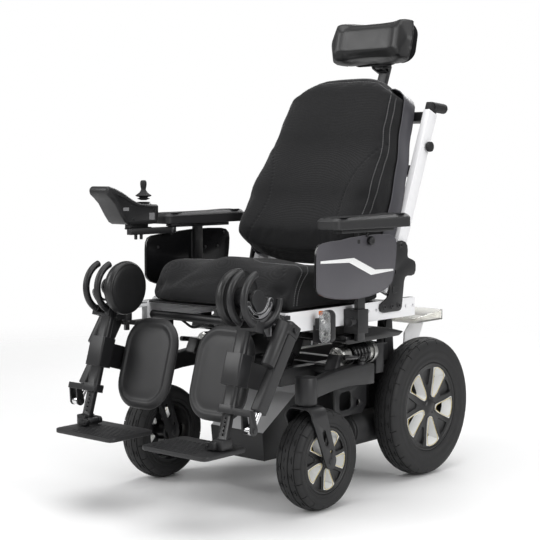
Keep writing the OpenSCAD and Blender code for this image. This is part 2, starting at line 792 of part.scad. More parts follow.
module headrest_pad() color("#202023") back_axes() {
    y = headrest_joint[0];
    z = headrest_joint[1];
    depth = 52;
    rear = y - 20;
    difference() {
        union() {
            pin_x(-11, 22, y, z, 10);
            translate([-9, rear - 4, z - 6]) cube([18, y - rear + 4, 14]);
        }
        pin_x(-20, 40, y, z, joint_pin_r + fit);
    }
    translate([-45, rear - 6, z - 6]) cube([90, 8, 70]);
    // Cushion: straight behind, bent forward at the wings
    translate([0, rear - 6, z + 48]) rotate([90 + back_lean - 12, 0, 0]) {
        linear_extrude(depth) rounded([headrest_w - 90, headrest_h], 40);
        for (s = [-1, 1]) translate([s * (headrest_w / 2 - 58), 0, 36]) rotate([0, s * 30, 0]) {
            translate([0, 0, -depth / 2 + 6]) linear_extrude(depth - 6) translate([s * 18, 0]) rounded([84, headrest_h - 4], 38);
        }
    }
}

// ---- Arms ----

module panel_outline() {
    polygon(concat([[-170, 510], [-170, 590]], arc([-148, 590], 22, 170, 100, 4), [[128, 619]],
        [[140, 602], [122, 497]], arc([100, 497], 20, -10, -70, 4), [[-44, 475], [-127, 484]], arc([-150, 506], 20, 250, 190, 4)));
}

module arm_frame(side) color("#2f3033") on_side(side) {
    pad_bottom = pad_top - pad_t;
    translate([post_x - post_t / 2, post_y - post_w / 2, post_foot]) cube([post_t, post_w, pad_bottom - post_foot]);
    difference() {
        side_plate(panel_x, panel_t) panel_outline();
        pin_x(panel_x - 1, panel_t + 2, 30, 592, 4);
    }
    // Bearer under the pad
    translate([pad_x - 14, pad_front + 44, pad_bottom - 9]) cube([28, pad_len - 94, 9]);
    pin_x(panel_x + panel_t, 6, 4, 600, 9);
    // The right arm carries the controller's pivot
    if (side == "right") {
        translate([-bar_x - 14, bar_pivot_y - 14, pad_bottom - 6]) cube([pad_x - 10 + bar_x + 14, 70, 6]);
        translate([-bar_x, bar_pivot_y, bar_z - 12]) cylinder(h = pad_bottom - 4 - bar_z + 12, r = 4);
    }
}

module arm_pad(side) color("#232326") on_side(side) {
    translate([pad_x, pad_front + pad_len / 2, pad_top - pad_t + 0.2]) linear_extrude(pad_t) rounded([pad_w, pad_len], 26);
}

// ---- Controller ----

module controller_arm() color("#1c1c1e") {
    difference() {
        union() {
            translate([bar_x - 8, -245, bar_z - 8]) cube([16, 245 + bar_pivot_y, 16]);
            translate([bar_x, bar_pivot_y, bar_z - 8]) cylinder(h = 16, r = 11);
        }
        translate([bar_x, bar_pivot_y, bar_z - 10]) cylinder(h = 20, r = 4 + fit);
    }
    translate([stick_x - 12, -232, bar_z + 8 - 4]) cube([bar_x - stick_x + 16, 60, 5]);
    for (y = [-222, -204]) translate([bar_x, y, bar_z - 20]) cylinder(h = 14, r = 4);
}

// Side view of the console: high nose, hollow behind it for the stick, flat rear
function console_outline() = concat(
    [[-160, 640], [-258, 640], [-272, 650], [-300, 690], [-327, 712]],
    arc([-318, 722], 11, 200, 60, 4),
    [[-290, 724], [-262, 712], [-236, 698], [-220, 690], [-156, 687]]);

module controller_housing() color("#1d1d20") {
    difference() {
        side_plate(stick_x - 33, 66) polygon(console_outline());
        translate([stick_x, stick_y, stick_z - 34]) cylinder(h = 60, r = 20);
        button_axes() translate([0, 0, -12]) cylinder(h = 20, r = button_r + gap / 2);
    }
    translate([stick_x - 12, -232, bar_z + 9 + gap]) cube([24, 60, 640 - bar_z - 8]);
    for (s = [-1, 1]) pin_x(stick_x + s * 25.5 - 5.5, 11, stick_y, stick_z - 14, 4);
}

module joystick_gimbal() color("#9a9da0") {
    y = stick_y;
    z = stick_z - 14;
    difference() {
        translate([stick_x, y, z - 5]) cylinder(h = 10, r = 18);
        translate([stick_x, y, z - 6]) cylinder(h = 12, r = 11);
        for (s = [-1, 1]) pin_x(stick_x + s * 16 - 6, 12, y, z, 4 + fit);
    }
    for (s = [-1, 1]) pin_y(y + s * 12 - 3, 6, stick_x, z, 2.5);
}

module joystick() color("#141415") {
    y = stick_y;
    z = stick_z - 14;
    difference() {
        translate([stick_x, y, z]) sphere(10.2);
        pin_y(y - 20, 40, stick_x, z, 2.5 + fit);
    }
    translate([stick_x, y, z + 8]) cylinder(h = 36, r = 4);
    translate([stick_x, y, z + 36]) cylinder(h = 22, r1 = 8, r2 = 11);
    translate([stick_x, y, z + 58]) cylinder(h = 9, r1 = 11, r2 = 8);
}

// Square to the sloping face of the console
module button_axes() {
    translate([stick_x, -249, 705]) rotate([-28.3, 0, 0]) children();
}

module power_button() color("#3a6b48") button_axes() {
    translate([0, 0, -9]) cylinder(h = 12, r = button_r);
}

// ---- Legrests ----

module legrest_hanger(side) color("#1d1d1f") on_side(side) {
    translate([swing_x, swing_y, 384]) cylinder(h = 72, r = swing_pin_r);
    translate([swing_x, swing_y, 408 + gap]) cylinder(h = 32 - 2 * gap, r = 13);
    side_plate(leg_x + 16, 8) {
        polygon([[swing_y - 17, 411], [swing_y - 17, 452], [knee_y + 20, knee_z + 6],
            [knee_y - 18, knee_z - 6], [swing_y - 44, 424], [swing_y - 36, 411]]);
        translate([knee_y, knee_z]) circle(20);
    }
    translate([leg_x + 16, swing_y - 26, 412]) cube([swing_x - leg_x - 12, 26, 25]);
    pin_x(leg_x - 22, 40, knee_y, knee_z, knee_pin_r);
    pin_x(swing_x, act_x + 20 - swing_x, act_top[0], act_top[1], act_pin_r);
    // Slotted quadrant round the knee axis
    side_plate(leg_x + 23, 5) translate([knee_y, knee_z]) difference() {
        sector(30, 46, 195, 350);
        sector(35, 41, 203, 342);
    }
}

module leg_tube(side) color("#2a2a2d") on_side(side) leg_axes() {
    difference() {
        union() {
            // Hoops on both sides of the hanger plate
            for (x = [leg_x - 6, leg_x + 33]) translate([x, 0, 0]) rotate([0, -90, 0]) rotate([0, 0, 75]) {
                rotate_extrude(angle = 250) translate([hoop_r, 0]) circle(hoop_d / 2);
            }
            side_plate(leg_x - 10, 8) {
                circle(19);
                translate([-4, -hoop_r / 2 - 6]) square([22, hoop_r + 6], center = true);
            }
            pin_x(leg_x - 26, 17, 0, 0, 22);
            translate([leg_x - 15, -13, -hoop_r - 14]) cube([58, 26, 24]);
            translate([leg_x, 0, -leg_len]) linear_extrude(leg_len - hoop_r) rounded([34, 22], 10);
            block([leg_x, 0, -192], [48, 40, 70], 5);
            block([leg_x, 0, -leg_len], [46, 32, 18], 8);
            calf_bracket();
            actuator_clevis();
        }
        pin_x(leg_x - 23, 60, 0, 0, knee_pin_r + fit);
        translate([leg_x - 13, -6, -leg_len - 5]) cube([26, 12, leg_len - hoop_r - 20]);
        pin_x(calf_mid - 30, 60, calf_pin_y, calf_z, calf_pin_r + fit);
    }
}

// Carries the calf pad from behind: one arm back from the sleeve, one across, two ears
module calf_bracket() {
    translate([leg_x - 12, 12, calf_z - 24]) cube([7, calf_pin_y + 14 - 12, 56]);
    translate([calf_mid - 26, calf_pin_y + 9, calf_z - 14]) cube([leg_x - 6 - calf_mid + 26, 5, 34]);
    for (dx = [-26, 20]) side_plate(calf_mid + dx, 6) {
        translate([calf_pin_y, calf_z]) circle(10);
        translate([calf_pin_y, calf_z - 10]) square([14, 20]);
    }
}

// Two ears beside the actuator's rod end, each with its bolt head
module actuator_clevis() {
    foot = leg_local(act_foot);
    translate([leg_x + 16, -14, -leg_len]) cube([act_x + 14 - leg_x - 16, 14, 14]);
    for (dx = [-14, 9.6]) side_plate(act_x + dx, 4.4) {
        translate(foot) circle(11);
        polygon([[foot[0] + 10, foot[1] + 4], [2, -leg_len + 10], [-14, -leg_len + 10], [foot[0] - 10, foot[1] - 4]]);
    }
    for (dx = [-17, 14]) pin_x(act_x + dx, 3.4, foot[0], foot[1], 6);
}

// A point of the YZ plane in the leg's own axes
function leg_local(p) = [
    (p[0] - knee_y) * cos(leg_lean) - (p[1] - knee_z) * sin(leg_lean),
    (p[0] - knee_y) * sin(leg_lean) + (p[1] - knee_z) * cos(leg_lean)];

module knee_pad(side) color("#1c1c1f") on_side(side) leg_axes() {
    translate([leg_x - 26.2 - 30, 0, 0]) rotate([0, 90, 0]) rotate_extrude() {
        square([60, 30]);
        translate([0, 6]) square([64, 18]);
    }
}

module calf_pad(side) color("#242427") on_side(side) leg_axes() {
    front_plate(calf_y - calf_t, calf_t) translate([calf_mid, calf_z]) rounded([calf_w, calf_h], 56);
    front_plate(calf_y, 5) translate([calf_mid, calf_z]) rounded([60, 70], 8);
    for (dx = [-19, 11]) side_plate(calf_mid + dx, 8) {
        translate([calf_pin_y, calf_z]) circle(8);
        translate([calf_y + 4, calf_z - 8]) square([calf_pin_y - calf_y - 4, 16]);
    }
    pin_x(calf_mid - 28, 56, calf_pin_y, calf_z, calf_pin_r);
}

module foot_tube(side) color("#202022") on_side(side) {
    leg_axes() difference() {
        translate([leg_x - 13 + 0.3, -6 + 0.3, -foot_reach + 8]) cube([26 - 0.6, 12 - 0.6, foot_reach - 8 - 110]);
        for (i = [0:4]) pin_y(-20, 40, leg_x, -leg_len - 10 - i * 9, 2);
    }
    // Foot with the two outer knuckles of the flip hinge
    difference() {
        union() {
            block([leg_x + 2, foot_tip[0], foot_tip[1] - 6], [26, 36, 22], 5);
            for (s = [-1, 1]) translate([0, foot_tip[0] + s * 20 - 5, 0]) {
                pin_y(0, 10, flip_x, flip_z, flip_r);
                translate([flip_x, 0, flip_z - 8]) cube([leg_x - flip_x, 10, 16]);
            }
            translate([leg_x - 11, foot_tip[0] - 25, flip_z - 8]) cube([10, 50, 16]);
        }
        pin_y(foot_tip[0] - 40, 80, flip_x, flip_z, flip_pin_r + fit);
    }
}

module footplate(side) color("#232325") on_side(side) {
    outer = leg_x + 24;
    translate([(plate_inner + outer) / 2, foot_tip[0] - 11, foot_tip[1] - 18]) {
        linear_extrude(plate_t) rounded([outer - plate_inner, plate_len], 16);
    }
    // Middle knuckle on the pin
    pin_y(foot_tip[0] - 14, 28, flip_x, flip_z, flip_r);
    translate([flip_x - 6, foot_tip[0] - 14, foot_tip[1] - 9]) cube([12, 28, 10]);
    pin_y(foot_tip[0] - 27, 54, flip_x, flip_z, flip_pin_r);
}

module act_axes() {
    translate([act_x, act_top[0], act_top[1]]) rotate([-act_lean, 0, 0]) children();
}

module leg_actuator_body(side) color("#232326") on_side(side) act_axes() difference() {
    union() {
        block([0, 0, -14], [30, 40, 28], 6);
        block([0, 4, -196], [26, 32, 184], 6);
        translate([2, -26, -100]) cylinder(h = 104, r = 15);
    }
    pin_x(-30, 60, 0, 0, act_pin_r + fit);
    translate([0, 4, -250]) cylinder(h = 232, r = 9 + fit);
}

module leg_actuator_rod(side) color("#b5b8bb") on_side(side) act_axes() {
    translate([0, 4, -act_l + 8]) cylinder(h = act_l - 34, r = 9);
    difference() {
        pin_x(-8, 16, 0, -act_l, 10);
        pin_x(-20, 40, 0, -act_l, act_pin_r);
    }
}

// ---- Cables under the front of the seat ----

// Smooth curve through four neighbouring points
function through(a, b, c, d, t) = 0.5 * ((2 * b) + (c - a) * t
    + (2 * a - 5 * b + 4 * c - d) * t * t + (3 * b - 3 * c + d - a) * t * t * t);

function smooth(pts, steps) = let (n = len(pts), ends = concat([2 * pts[0] - pts[1]], pts, [2 * pts[n - 1] - pts[n - 2]]))
    concat([for (i = [0:n - 2], j = [0:steps - 1])
        through(ends[i], ends[i + 1], ends[i + 2], ends[i + 3], j / steps)], [pts[n - 1]]);

// Round tube along a row of points that lies near a plane square to Y
module cable(pts, r) {
    path = smooth(pts, 5);
    n = len(path);
    sides = 8;
    rings = [for (i = [0:n - 1])
        let (t = path[min(i + 1, n - 1)] - path[max(i - 1, 0)], u = t / norm(t),
            b = cross(u, [0, 1, 0]), e = b / norm(b), f = cross(e, u))
        for (k = [0:sides - 1]) path[i] + r * (e * cos(k * 45) + f * sin(k * 45))];
    walls = [for (i = [0:n - 2], k = [0:sides - 1])
        [i * sides + k, i * sides + (k + 1) % sides, (i + 1) * sides + (k + 1) % sides, (i + 1) * sides + k]];
    ends = [[for (k = [sides - 1:-1:0]) k], [for (k = [0:sides - 1]) (n - 1) * sides + k]];
    polyhedron(points = rings, faces = concat(walls, ends));
}

module cables() color("#101011") {
    cable(loom_route, cable_r);
    cable(loop_route, cable_r);
}

chassis_frame();
battery_box();
batteries();
side_shrouds();
drive_motors();
suspension_springs();
seat_frame();
rail_brackets();
seat_cushion();
front_lights();
rear_tray();
tilt_actuator_body();
tilt_actuator_rod();
back_frame();
back_shell();
back_cushion();
push_handles();
headrest_post();
headrest_pad();
controller_arm();
controller_housing();
joystick_gimbal();
joystick();
power_button();
cables();
for (side = SIDES) {
    swing_arm(side);
    release_lever(side);
    caster_fork(side);
    caster_rim(side);
    caster_tyre(side);
    drive_rim(side);
    drive_tyre(side);
    arm_frame(side);
    arm_pad(side);
    legrest_hanger(side);
    leg_tube(side);
    knee_pad(side);
    calf_pad(side);
    foot_tube(side);
    footplate(side);
    leg_actuator_body(side);
    leg_actuator_rod(side);
}
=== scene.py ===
import math

import bpy
from mathutils import Matrix, Vector
from mathutils.bvhtree import BVHTree
from mathutils.kdtree import KDTree


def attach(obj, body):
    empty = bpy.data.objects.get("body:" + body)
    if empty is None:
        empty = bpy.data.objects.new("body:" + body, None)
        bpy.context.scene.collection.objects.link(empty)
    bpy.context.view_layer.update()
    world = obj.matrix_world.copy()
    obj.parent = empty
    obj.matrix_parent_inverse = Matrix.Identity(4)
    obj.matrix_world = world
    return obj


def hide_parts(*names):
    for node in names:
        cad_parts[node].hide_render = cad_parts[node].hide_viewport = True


# Power wheelchair: faces -Y, the user's left is +X, floor at z 0, metres

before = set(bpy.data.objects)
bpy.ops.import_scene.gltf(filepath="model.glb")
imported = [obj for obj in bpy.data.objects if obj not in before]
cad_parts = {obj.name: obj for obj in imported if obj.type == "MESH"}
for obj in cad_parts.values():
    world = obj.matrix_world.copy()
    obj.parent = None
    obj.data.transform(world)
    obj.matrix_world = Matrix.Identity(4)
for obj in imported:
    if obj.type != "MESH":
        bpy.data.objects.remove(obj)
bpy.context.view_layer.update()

# Places shared by many pieces, as the CAD has them
place = {
    "driveAxle": (0.228, 0.317, 0.175),
    "casterAxle": (0.250, -0.135, 0.117),
    "recline": (0.183, 0.481),      # y, z of the back's pin
    "backLean": math.radians(22),
    "knee": (-0.325, 0.495),        # y, z of the knee axis
    "legLean": math.radians(16.4),
}

# Camera and light
cameraSettings = {"at": (2.06142, -2.39508, 0.76788), "target": (-0.06577, 0.067, 0.52), "lens": 86.06,
                  "farthest": 60}


def aimed(at, target):
    return (Vector(target) - Vector(at)).to_track_quat("-Z", "Y").to_euler()


bpy.ops.object.camera_add(location=cameraSettings["at"])
camera = bpy.context.object
camera.name = "studioCamera"
camera.data.lens = cameraSettings["lens"]
camera.data.clip_end = cameraSettings["farthest"]
camera.rotation_euler = aimed(cameraSettings["at"], cameraSettings["target"])
bpy.context.scene.camera = camera
bpy.context.scene.view_settings.view_transform = "Standard"

lightSettings = [
    # name, place, aimed at, width, height, watts
    ("topSoftbox", (0.3, -0.2, 3.6), (0, 0, 0.4), 3.2, 3.2, 70),
    ("keySoftbox", (-2.4, -3.0, 2.7), (0, 0, 0.5), 1.8, 2.2, 70),
    ("sideSoftbox", (4.2, -0.2, 2.2), (0, 0, 0.5), 1.4, 2.6, 85),
    ("frontStrip", (0.6, -4.2, 1.5), (0, 0, 0.5), 2.4, 0.7, 26),
    ("backSoftbox", (-1.0, 3.6, 2.6), (0, 0, 0.6), 2.6, 1.4, 60),
]
for name, at, aim, width, height, watts in lightSettings:
    bpy.ops.object.light_add(type="AREA", location=at)
    lamp = bpy.context.object
    lamp.name = name
    lamp.data.shape = "RECTANGLE"
    lamp.data.size, lamp.data.size_y = width, height
    lamp.data.energy = watts
    lamp.rotation_euler = aimed(at, aim)

worldSettings = {"colour": (1.0, 1.0, 1.0, 1), "seen": 1.0, "light": 0.36}
world = bpy.data.worlds.new("paleStudio")
bpy.context.scene.world = world
world.use_nodes = True
wNodes, wLinks = world.node_tree.nodes, world.node_tree.links
wBack = wNodes["Background"]
wBack.inputs["Color"].default_value = worldSettings["colour"]
wPath = wNodes.new("ShaderNodeLightPath")
wRange = wNodes.new("ShaderNodeMapRange")
wRange.inputs["To Min"].default_value = worldSettings["light"]
wRange.inputs["To Max"].default_value = worldSettings["seen"]
wLinks.new(wPath.outputs["Is Camera Ray"], wRange.inputs["Value"])
wLinks.new(wRange.outputs["Result"], wBack.inputs["Strength"])
print("camera and lights placed")


# Shader groups
def newGroup(name, inputs, outputs):
    tree = bpy.data.node_groups.new(name, "ShaderNodeTree")
    for label, kind, value in inputs:
        socket = tree.interface.new_socket(label, in_out="INPUT", socket_type=kind)
        socket.default_value = value
    for label, kind in outputs:
        tree.interface.new_socket(label, in_out="OUTPUT", socket_type=kind)
    start = tree.nodes.new("NodeGroupInput")
    end = tree.nodes.new("NodeGroupOutput")
    return tree, start, end


def mathNode(tree, operation, a, b=None, clamp=False):
    node = tree.nodes.new("ShaderNodeMath")
    node.operation = operation
    node.use_clamp = clamp
    for index, value in enumerate((a, b)):
        if value is None:
            continue
        if isinstance(value, (int, float)):
            node.inputs[index].default_value = value
        else:
            tree.links.new(value, node.inputs[index])
    return node.outputs[0]


def colourMix(tree, share, first, second, blendType="MIX"):
    node = tree.nodes.new("ShaderNodeMix")
    node.data_type = "RGBA"
    node.blend_type = blendType
    for label, value in (("Factor", share), ("A", first), ("B", second)):
        if isinstance(value, (int, float, tuple)):
            node.inputs[label].default_value = value
        else:
            tree.links.new(value, node.inputs[label])
    return node.outputs["Result"]


def objectPoint(tree):
    return tree.nodes.new("ShaderNodeTexCoord").outputs["Object"]


# Slow drift of colour and gloss, as on any moulded or painted part
toneGroup, gIn, gOut = newGroup(
    "toneDrift",
    [("Colour", "NodeSocketColor", (0.5, 0.5, 0.5, 1)), ("Second", "NodeSocketColor", (0.4, 0.4, 0.4, 1)),
     ("Scale", "NodeSocketFloat", 9.0), ("Rough Low", "NodeSocketFloat", 0.4),
     ("Rough High", "NodeSocketFloat", 0.5)],
    [("Colour", "NodeSocketColor"), ("Roughness", "NodeSocketFloat")])
cloud = toneGroup.nodes.new("ShaderNodeTexNoise")
cloud.inputs["Detail"].default_value = 4
toneGroup.links.new(objectPoint(toneGroup), cloud.inputs["Vector"])
toneGroup.links.new(gIn.outputs["Scale"], cloud.inputs["Scale"])
toneMix = colourMix(toneGroup, cloud.outputs["Fac"], gIn.outputs["Colour"], gIn.outputs["Second"])
toneGroup.links.new(toneMix, gOut.inputs["Colour"])
smudge = toneGroup.nodes.new("ShaderNodeTexNoise")
smudge.inputs["Detail"].default_value = 5
smudge.inputs["Scale"].default_value = 34
toneGroup.links.new(objectPoint(toneGroup), smudge.inputs["Vector"])
gloss = toneGroup.nodes.new("ShaderNodeMapRange")
toneGroup.links.new(smudge.outputs["Fac"], gloss.inputs["Value"])
toneGroup.links.new(gIn.outputs["Rough Low"], gloss.inputs["To Min"])
toneGroup.links.new(gIn.outputs["Rough High"], gloss.inputs["To Max"])
toneGroup.links.new(gloss.outputs["Result"], gOut.inputs["Roughness"])

# Rubbed edges: where the normal of a rounded copy leaves the true normal
wearGroup, gIn, gOut = newGroup(
    "edgeRub",
    [("Width", "NodeSocketFloat", 0.002), ("Amount", "NodeSocketFloat", 0.5)],
    [("Mask", "NodeSocketFloat")])
rounder = wearGroup.nodes.new("ShaderNodeBevel")
rounder.samples = 4
wearGroup.links.new(gIn.outputs["Width"], rounder.inputs["Radius"])
geometry = wearGroup.nodes.new("ShaderNodeNewGeometry")
dot = wearGroup.nodes.new("ShaderNodeVectorMath")
dot.operation = "DOT_PRODUCT"
wearGroup.links.new(rounder.outputs["Normal"], dot.inputs[0])
wearGroup.links.new(geometry.outputs["Normal"], dot.inputs[1])
bend = mathNode(wearGroup, "SUBTRACT", 1.0, dot.outputs["Value"])
edgeShare = mathNode(wearGroup, "MULTIPLY", bend, 5.0, True)
patch = wearGroup.nodes.new("ShaderNodeTexNoise")
patch.inputs["Scale"].default_value = 60
wearGroup.links.new(objectPoint(wearGroup), patch.inputs["Vector"])
worn = mathNode(wearGroup, "MULTIPLY", edgeShare, patch.outputs["Fac"])
wearGroup.links.new(mathNode(wearGroup, "MULTIPLY", worn, gIn.outputs["Amount"], True), gOut.inputs["Mask"])

# Fine skin: pebbles for leather and foam, orange peel for powder coat
grainGroup, gIn, gOut = newGroup(
    "skinGrain",
    [("Scale", "NodeSocketFloat", 900.0), ("Pebble", "NodeSocketFloat", 0.5)],
    [("Height", "NodeSocketFloat")])
pebble = grainGroup.nodes.new("ShaderNodeTexVoronoi")
pebble.feature = "SMOOTH_F1"
fine = grainGroup.nodes.new("ShaderNodeTexNoise")
fine.inputs["Detail"].default_value = 3
for tex in (pebble, fine):
    grainGroup.links.new(objectPoint(grainGroup), tex.inputs["Vector"])
    grainGroup.links.new(gIn.outputs["Scale"], tex.inputs["Scale"])
pebbleHeight = mathNode(grainGroup, "MULTIPLY", pebble.outputs["Distance"], gIn.outputs["Pebble"])
grainGroup.links.new(mathNode(grainGroup, "ADD", pebbleHeight, fine.outputs["Fac"]), gOut.inputs["Height"])

# Knitted cover: small loops standing in rows, whichever way the surface faces; the raised loop tops get a
# painted highlight
knitGroup, gIn, gOut = newGroup(
    "knitLoops",
    [("Loops per metre", "NodeSocketFloat", 520.0)],
    [("Height", "NodeSocketFloat"), ("Shade", "NodeSocketFloat")])
scaled = knitGroup.nodes.new("ShaderNodeVectorMath")
scaled.operation = "SCALE"
knitGroup.links.new(objectPoint(knitGroup), scaled.inputs[0])
perRadian = mathNode(knitGroup, "MULTIPLY", gIn.outputs["Loops per metre"], 2 * math.pi)
knitGroup.links.new(perRadian, scaled.inputs["Scale"])
parts = knitGroup.nodes.new("ShaderNodeSeparateXYZ")
knitGroup.links.new(scaled.outputs[0], parts.inputs[0])
waves = [mathNode(knitGroup, "SINE", parts.outputs[i]) for i in range(3)]
loopSum = mathNode(knitGroup, "ADD", mathNode(knitGroup, "MULTIPLY", waves[0], waves[1]),
                   mathNode(knitGroup, "MULTIPLY", waves[1], waves[2]))
loopSum = mathNode(knitGroup, "ADD", loopSum, mathNode(knitGroup, "MULTIPLY", waves[2], waves[0]))
knitGroup.links.new(loopSum, gOut.inputs["Height"])
# painted highlight: the higher a loop stands, the more of the lighter lit colour it gets
knitGroup.links.new(mathNode(knitGroup, "MULTIPLY_ADD", loopSum, 0.2, True), gOut.inputs["Shade"])


# Finishes
def makeFinish(name, colour, second=None, rough=(0.4, 0.5), metal=0.0, grain=None, knit=None, wear=None,
               toneScale=9.0, **sockets):
    material = bpy.data.materials.new(name)
    material.use_nodes = True
    tree = material.node_tree
    shader = tree.nodes["Principled BSDF"]
    shader.inputs["Metallic"].default_value = metal
    tone = tree.nodes.new("ShaderNodeGroup")
    tone.node_tree = toneGroup
    tone.inputs["Colour"].default_value = (*colour, 1)
    tone.inputs["Second"].default_value = (*(second or [c * 0.8 for c in colour]), 1)
    tone.inputs["Scale"].default_value = toneScale
    tone.inputs["Rough Low"].default_value, tone.inputs["Rough High"].default_value = rough
    tint = tone.outputs["Colour"]
    height = None
    if knit:
        loops = tree.nodes.new("ShaderNodeGroup")
        loops.node_tree = knitGroup
        loops.inputs["Loops per metre"].default_value = knit["perMetre"]
        # painted highlight on the loop tops: the tone is mixed towards the lit colour
        tint = colourMix(tree, loops.outputs["Shade"], tint, (*knit["lit"], 1))
        height, relief = loops.outputs["Height"], knit
    if grain:
        skin = tree.nodes.new("ShaderNodeGroup")
        skin.node_tree = grainGroup
        skin.inputs["Scale"].default_value = grain["scale"]
        skin.inputs["Pebble"].default_value = grain.get("pebble", 0.0)
        height, relief = skin.outputs["Height"], grain
    if wear:
        rub = tree.nodes.new("ShaderNodeGroup")
        rub.node_tree = wearGroup
        rub.inputs["Width"].default_value = wear["width"]
        rub.inputs["Amount"].default_value = wear["amount"]
        tint = colourMix(tree, rub.outputs["Mask"], tint, (*wear["colour"], 1))
    if height is not None:
        bump = tree.nodes.new("ShaderNodeBump")
        bump.inputs["Strength"].default_value = relief["strength"]
        bump.inputs["Distance"].default_value = relief["depth"]
        tree.links.new(height, bump.inputs["Height"])
        tree.links.new(bump.outputs["Normal"], shader.inputs["Normal"])
    tree.links.new(tint, shader.inputs["Base Color"])
    tree.links.new(tone.outputs["Roughness"], shader.inputs["Roughness"])
    for label, value in sockets.items():
        shader.inputs[label.replace("_", " ")].default_value = value
    return material


